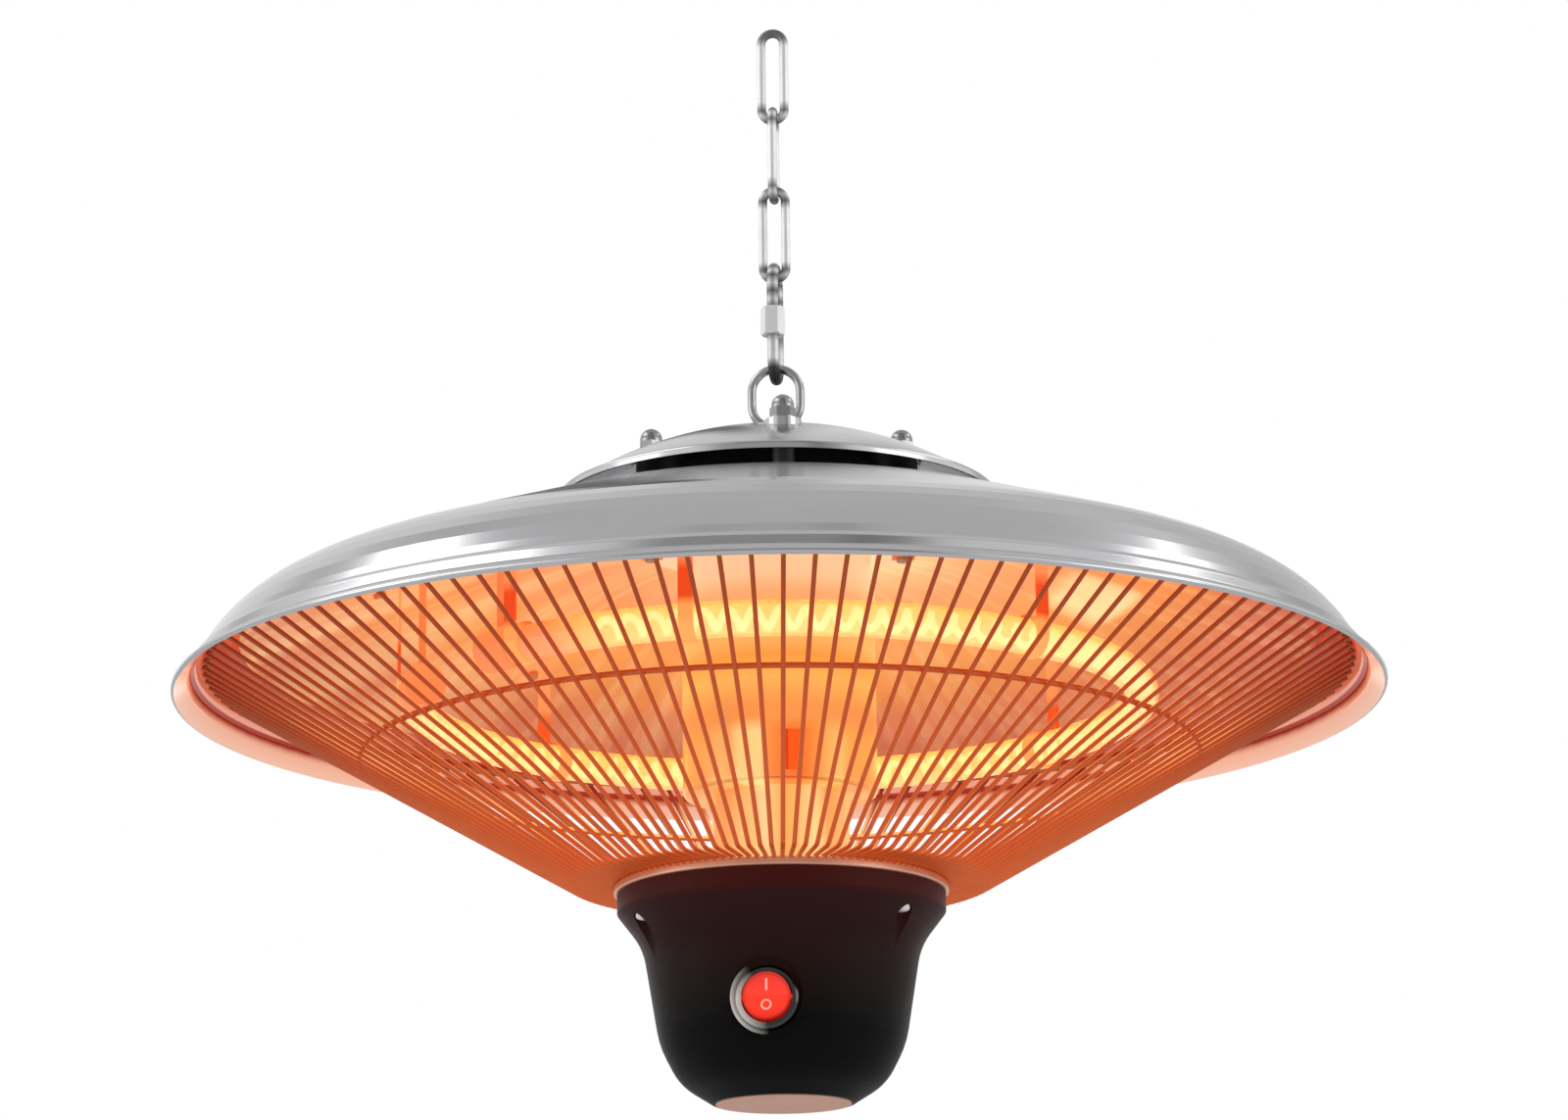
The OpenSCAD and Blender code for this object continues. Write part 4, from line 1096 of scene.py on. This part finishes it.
@dataclass
class RingLamp:
    """The ring lamp: a quartz tube, its wound coil, its ends and its holders."""

    arc: float = 327.0
    end_arc: float = 1.5
    coil_r: float = 3.1
    coil_wire_r: float = 1.3
    pitch: float = 8.4
    steps: int = 20
    wire_sides: int = 8

    def coil_tree(self) -> MeshTree:
        """Builds the tree that winds a coil round a ring.

        Returns:
            The geometry tree.
        """
        floats = ("Ring Radius", "Start", "Arc", "Coil Radius", "Wire Radius", "Height")
        nodes = MeshTree("wound coil", floats, ("Turns", "Steps"))
        given = nodes.given
        count = nodes.calc("MULTIPLY", given["Turns"], given["Steps"])
        share = nodes.calc("DIVIDE", nodes.add("GeometryNodeInputIndex").outputs[0], count)
        angle = nodes.calc("MULTIPLY_ADD", share, given["Arc"], given["Start"])
        turn = nodes.calc("MULTIPLY", share, nodes.calc("MULTIPLY", given["Turns"], math.tau))
        radius, lift = (
            nodes.calc("MULTIPLY_ADD", nodes.calc(wave, turn), given["Coil Radius"], given[middle])
            for wave, middle in (("COSINE", "Ring Radius"), ("SINE", "Height"))
        )
        place = nodes.xyz(
            nodes.calc("MULTIPLY", radius, nodes.calc("SINE", angle)),
            nodes.calc("MULTIPLY", radius, nodes.calc("MULTIPLY", nodes.calc("COSINE", angle), -1.0)),
            lift,
        )
        line = nodes.add("GeometryNodeMeshLine", {"Count": nodes.calc("ADD", count, 1.0)})
        bent = nodes.add("GeometryNodeSetPosition", {0: line.outputs[0], "Position": place})
        curve = nodes.add("GeometryNodeMeshToCurve", {0: bent.outputs[0]})
        section = nodes.add("GeometryNodeCurvePrimitiveCircle", {
            "Resolution": self.wire_sides, "Radius": given["Wire Radius"],
        })
        wire = nodes.add(
            "GeometryNodeCurveToMesh", {0: curve.outputs[0], 1: section.outputs[0], "Fill Caps": True},
        )
        nodes.close(wire.outputs[0], Finish.COIL)
        return nodes

    def build(self) -> None:
        """Winds the coil and dresses the lamp."""
        hot_arc = math.radians(self.arc - LAMP_COLD_ARC - self.end_arc)
        mesh = self.coil_tree().grow("lamp_coil", {
            "Ring Radius": LAMP_R * MM, "Start": math.radians(LAMP_START + LAMP_COLD_ARC), "Arc": hot_arc,
            "Coil Radius": self.coil_r * MM, "Wire Radius": self.coil_wire_r * MM, "Steps": self.steps,
            "Turns": round(hot_arc * LAMP_R / self.pitch), "Height": RIM_Z * MM,
        })
        coil = new_piece("lamp_coil", mesh, Finish.COIL, "heater")
        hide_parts("lamp_filament")
        dress(Finish.QUARTZ, "lamp_tube")
        dress(Finish.CERAMIC, "lamp_end_caps", "lead_bushes")
        dress(Finish.SLEEVE, "lamp_leads")
        dress(Finish.HOLDER, "lamp_holders")
        dress(Finish.LIT_STEEL, "holder_screws")


@dataclass
class Guard:
    """The wire guard under the lamp."""

    rings: tuple[str, ...] = ("guard_outer_ring", "guard_middle_ring", "guard_inner_ring")
    count: int = 120
    turn: float = math.radians(1.6)
    nugget_r: float = 0.95

    def nugget_tree(self) -> MeshTree:
        """Builds the tree that sets a weld nugget at each wire of one ring.

        Returns:
            The geometry tree.
        """
        nodes = MeshTree("weld nuggets", ("Ring Radius", "Height", "Turn", "Nugget Radius"), ("Count",))
        given = nodes.given
        ring = nodes.add("GeometryNodeMeshCircle", {
            "Vertices": given["Count"], "Radius": given["Ring Radius"],
        })
        placed = nodes.add("GeometryNodeTransform", {
            0: ring.outputs[0], "Translation": nodes.xyz(0.0, 0.0, given["Height"]),
            "Rotation": nodes.xyz(0.0, 0.0, given["Turn"]),
        })
        nugget = nodes.add("GeometryNodeMeshIcoSphere", {
            "Radius": given["Nugget Radius"], "Subdivisions": 2,
        })
        set_out = nodes.add("GeometryNodeInstanceOnPoints", {0: placed.outputs[0], 2: nugget.outputs[0]})
        nodes.close(set_out.outputs[0], Finish.GUARD)
        return nodes

    def seam(self, ring: str) -> Pair:
        """Finds where a ring touches the wires.

        Args:
            ring: The ring's node.

        Returns:
            The radius and the height of the seam, in metres.
        """
        low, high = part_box(ring)
        wire_r = (high[2] - low[2]) / 2
        ring_r, ring_z = (high[0] - low[0]) / 2 - wire_r, (high[2] + low[2]) / 2
        centre = Vector((ring_r * math.cos(self.turn), ring_r * math.sin(self.turn), ring_z))
        nearest = skin_of("guard_wires").find_nearest(centre)[0]
        touch = centre + (nearest - centre).normalized() * wire_r
        return math.hypot(touch.x, touch.y), touch.z

    def build(self) -> None:
        """Dresses the guard and welds its wires to its rings."""
        tree = self.nugget_tree()
        for ring in self.rings:
            radius, height = self.seam(ring)
            name = ring.replace("ring", "welds")
            mesh = tree.grow(name, {
                "Count": self.count, "Ring Radius": radius, "Height": height, "Turn": self.turn,
                "Nugget Radius": self.nugget_r * MM,
            })
            new_piece(name, mesh, Finish.GUARD, "heater")
        dress(Finish.GUARD, *self.rings, "guard_wires")
        dress(Finish.LIT_STEEL, "guard_clips")


@dataclass
class Column:
    """The column and the rod inside it."""

    def build(self) -> None:
        """Dresses the column."""
        dress(Finish.COLUMN, "column_upper")
        dress(Finish.NECK, "column_neck")
        dress(Finish.LIT_STEEL, "tie_rod", "tie_rod_nuts")


@dataclass
class Bell:
    """The bell with its collar, screws, disc and switch.

    The rocker's bar has a width, a height and a middle above the axis, and its ring two radii and
    a middle.
    """

    seat_z: float = -75.0
    screw_turns: tuple[float, ...] = (-60.0, 60.0, 180.0)
    screw_r: float = 51.0
    head_r: float = 3.1
    head_h: float = 5.4
    crown_h: float = 1.2
    dome: tuple[float, ...] = (25.0, 50.0, 72.0)
    shank_r: float = 1.5
    sides: int = 24
    crease: float = 40.0
    bar: Triple = (0.75, 4.0, 4.1)
    bar_core: float = 0.02
    ring: Triple = (1.9, 1.25, -2.9)
    ring_sides: int = 28
    ink: float = 0.12
    outside: float = -100.0

    def screws(self) -> bpy.types.Mesh:
        """Turns the three pan-head screws.

        Returns:
            The mesh.
        """
        seat, top = (RIM_Z + self.seat_z) * MM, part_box("bell_screws")[1][2]
        sizes = (self.head_r, self.shank_r, self.head_h, self.crown_h, self.screw_r)
        head, shank, tall, crown, out = (size * MM for size in sizes)
        line = [(0.0, top), (shank, top), (shank, seat), (head, seat), (head, seat - tall + crown)]
        for rise in map(math.radians, self.dome):
            line.append((head * math.cos(rise), seat - tall + crown * (1 - math.sin(rise))))
        line.append((0.0, seat - tall))
        form, around = bmesh.new(), round_angles(self.sides)
        for turn in map(math.radians, self.screw_turns):
            centre = Vector((out * math.sin(turn), -out * math.cos(turn), 0.0))
            rows = [[
                form.verts.new(centre + Vector((r * math.cos(a), r * math.sin(a), z)))
                for a in (around if r else around[:1])
            ] for r, z in line]
            for upper, lower in zip(rows, rows[1:]):
                for i in range(self.sides):
                    j = (i + 1) % self.sides
                    corners = ((upper, i), (upper, j), (lower, j), (lower, i))
                    form.faces.new(list(dict.fromkeys(row[k % len(row)] for row, k in corners)))
        mesh = formed_mesh("bell_pan_screws", form)
        mesh.shade_smooth()
        mesh.set_sharp_from_angle(angle=math.radians(self.crease))
        return mesh

    def marks(self) -> bpy.types.Mesh:
        """Draws the rocker's bar and ring, laid on its face.

        Returns:
            The mesh.
        """
        face = skin_of("switch_rocker")
        form = bmesh.new()

        def lay(across: float, up: float, lift: float) -> bmesh.types.BMVert:
            """Puts a point over or under the rocker's face.

            Args:
                across: How far it lies to the right of the switch's axis.
                up: How far it lies above that axis.
                lift: How far it stands out of the face.

            Returns:
                The new vertex.
            """
            start = Vector((across, self.outside, RIM_Z + SWITCH_Z + up)) * MM
            hit = face.ray_cast(start, Vector((0.0, 1.0, 0.0)))[0]
            return form.verts.new(hit - Vector((0.0, lift * MM, 0.0)))

        def plate(outer: list[Pair], inner: list[Pair]) -> None:
            """Joins two outlines into a raised band.

            Args:
                outer: The points of its outer edge.
                inner: As many points of its inner edge.
            """
            edges = ((outer, self.ink), (inner, self.ink), (inner, -self.ink), (outer, -self.ink))
            loops = [[lay(x, z, lift) for x, z in line] for line, lift in edges]
            for i in range(len(outer)):
                j = (i + 1) % len(outer)
                for near, far in zip(loops, loops[1:] + loops[:1]):
                    form.faces.new((near[i], near[j], far[j], far[i]))

        around = round_angles(self.ring_sides)
        *radii, ring_up = self.ring
        plate(*([(r * math.cos(a), ring_up + r * math.sin(a)) for a in around] for r in radii))
        wide, tall, bar_up = self.bar
        corners = [(-1, -1), (1, -1), (1, 1), (-1, 1)]
        plate(*(
            [(x * wide / 2 * s, bar_up + z * (tall / 2 - wide / 2 * (1 - s))) for x, z in corners]
            for s in (1.0, self.bar_core)
        ))
        return formed_mesh("rocker_marks", form)

    def build(self) -> None:
        """Dresses the bell and its switch, and prints the rocker's marks."""
        new_piece("rocker_marks", self.marks(), Finish.MARK, "rocker")
        screws = new_piece("bell_pan_screws", self.screws(), Finish.SCREW, "heater")
        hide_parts("bell_screws")
        dress(Finish.COLLAR, "bell_collar")
        dress(Finish.BELL, "bell_housing")
        dress(Finish.DISC, "bottom_disc")
        dress(Finish.BEZEL, "switch_bezel")
        dress(Finish.BODY, "switch_body")
        dress(Finish.BRASS, "switch_terminals")
        dress(Finish.ROCKER, "switch_rocker")


@dataclass(frozen=True)
class Flag:
    """A dark board beside the camera or a softbox, seen by metal only. Angles are degrees."""

    azimuth: float
    half_width: float
    level: float
    top: float
    edge: float = 3.0


@dataclass
class Studio:
    """The camera, the lights, the floor and the white backdrop.

    Ceiling and zenith each give two heights of a ray and the light that metal sees past them.
    A light has its place, its size in metres and its radiance. Half of the floor's width and how
    far the camera sees are metres too. Flags fade out upwards over some degrees, up to a limit.
    """

    camera_at: Triple = (206.7, -1665.5, -623.8)
    azimuth: float = 7.0
    pitch: float = 14.30
    roll: float = 0.64
    lens: float = 112.37
    sensor: float = 36.0
    sight: float = 50.0
    floor_z: float = -1150.0
    floor_half: float = 12.0
    paint: StudioPaint = StudioPaint("pale matt studio floor", "#efefef")
    fill: float = 0.6
    ceiling: Triple = (0.2, 0.45, 0.82)
    zenith: Triple = (0.74, 0.88, 0.75)
    flag_fade: float = 12.0
    flag_limit: float = 89.0
    flags: tuple[Flag, ...] = (
        Flag(4.0, 26.0, 0.48, 66.0, 12.0), Flag(34.0, 7.0, 0.6, 66.0, 6.0),
        Flag(-130.0, 5.0, 0.72, 56.0), Flag(-173.4, 1.4, 0.72, 50.0, 1.4),
        Flag(-169.9, 1.0, 0.1, 34.0, 0.8), Flag(141.0, 8.0, 0.62, 34.0),
        Flag(164.0, 12.0, 0.76, 44.0),
    )
    lights: tuple[tuple[str, Triple, Pair, float], ...] = (
        ("left softbox", (-1728.0, -305.0, 1637.0), (2.1, 0.95), 1.6),
        ("right softbox", (1774.0, 540.0, 1510.0), (1.25, 0.65), 1.5),
        ("left fill", (-2300.0, -900.0, 100.0), (1.2, 1.2), 1.3),
        ("right fill", (2300.0, -700.0, 100.0), (1.2, 1.2), 1.3),
    )
    target: Triple = (0.0, 0.0, -230.0)

    def camera(self) -> None:
        """Sets the camera where the photograph was taken from."""
        data = bpy.data.cameras.new("camera")
        data.lens = self.lens
        data.sensor_width = self.sensor
        data.sensor_fit = "HORIZONTAL"
        data.clip_end = self.sight
        camera = add_object("camera", data)
        side, pitch, roll = (math.radians(a) for a in (self.azimuth, self.pitch, self.roll))
        level = math.cos(pitch)
        ahead = Vector((-math.sin(side) * level, math.cos(side) * level, math.sin(pitch)))
        right = ahead.cross(Vector((0, 0, 1))).normalized()
        up = right.cross(ahead)
        turned_up = up * math.cos(roll) + right * math.sin(roll)
        turned_right = right * math.cos(roll) - up * math.sin(roll)
        camera.matrix_world = Matrix.Translation(Vector(self.camera_at) * MM) @ Matrix(
            (turned_right, turned_up, -ahead)
        ).transposed().to_4x4()
        bpy.context.scene.camera = camera

    def floor(self) -> None:
        """Lays the pale matt floor."""
        mesh = bpy.data.meshes.new("floor")
        half, z = self.floor_half, self.floor_z * MM
        corners = [(x * half, y * half, z) for x, y in ((-1, -1), (1, -1), (1, 1), (-1, 1))]
        mesh.from_pydata(corners, [], [(0, 1, 2, 3)])
        mesh.materials.append(self.paint.made())
        floor = add_object("floor", mesh)

    def flagged(self, sky: Nodes, flag: Flag, turn: Any, rise: Any) -> Any:
        """Builds one dark board.

        Args:
            sky: The world's tree.
            flag: The board.
            turn: The output that gives the azimuth of a ray.
            rise: The output that gives how steeply it rises.

        Returns:
            The output that gives the light left there, as a share.
        """
        off = sky.calc("SUBTRACT", turn, math.radians(flag.azimuth))
        off = sky.calc("ABSOLUTE", sky.calc("WRAP", off, -math.pi, math.pi))
        beside = sky.between(off, *map(math.radians, (flag.half_width, flag.half_width + flag.edge)))
        tops = map(math.radians, (flag.top, min(flag.top + self.flag_fade, self.flag_limit)))
        above = sky.between(rise, *map(math.sin, tops))
        return sky.between(sky.calc("MAXIMUM", beside, above), 0.0, 1.0, flag.level)

    def backdrop(self) -> None:
        """Makes the surroundings white to the camera and to metal, and plain to the rest."""
        world = bpy.data.worlds.new("studio")
        world.use_nodes = True
        sky = Nodes(world.node_tree)
        path = sky.add("ShaderNodeLightPath").outputs
        way = sky.add("ShaderNodeTexCoord").outputs["Generated"]
        rise, turn = sky.part(way, Z), sky.azimuth(way)
        low, high = (
            sky.between(rise, *ends, 1.0, level) for *ends, level in (self.ceiling, self.zenith)
        )
        mirrored = sky.calc("MULTIPLY", low, high)
        for flag in self.flags:
            mirrored = sky.calc("MULTIPLY", mirrored, self.flagged(sky, flag, turn, rise))
        shiny = sky.calc("MAXIMUM", path["Is Glossy Ray"], path["Is Transmission Ray"])
        strength = sky.add("ShaderNodeMix", {0: shiny, 2: self.fill, 3: mirrored}).outputs[0]
        strength = sky.calc("MAXIMUM", strength, path["Is Camera Ray"])
        light = sky.add("ShaderNodeBackground", {"Color": (1, 1, 1, 1), "Strength": strength})
        sky.add("ShaderNodeOutputWorld", {"Surface": light.outputs[0]})
        bpy.context.scene.world = world

    def lamps(self) -> None:
        """Sets the softboxes."""
        for name, place, size, radiance in self.lights:
            data = bpy.data.lights.new(name, "AREA")
            data.shape = "RECTANGLE"
            data.size, data.size_y = size
            data.energy = radiance * math.pi * size[0] * size[1]
            lamp = add_object(name, data)
            lamp.location = Vector(place) * MM
            aim = (Vector(self.target) - Vector(place)).normalized()
            lamp.rotation_euler = aim.to_track_quat("-Z", "Y").to_euler()

    def build(self) -> None:
        """Sets the whole studio."""
        self.camera()
        self.floor()
        self.backdrop()
        self.lamps()
        bpy.context.scene.view_settings.view_transform = "Standard"


def main() -> None:
    """Builds the studio and every sub-assembly in order."""
    logging.basicConfig(level=logging.INFO, format="%(name)s: %(message)s")
    for part in (Studio(), Chain(), Cap(), Shade(), RingLamp(), Guard(), Column(), Bell()):
        part.build()


if __name__ == "__main__":
    main()
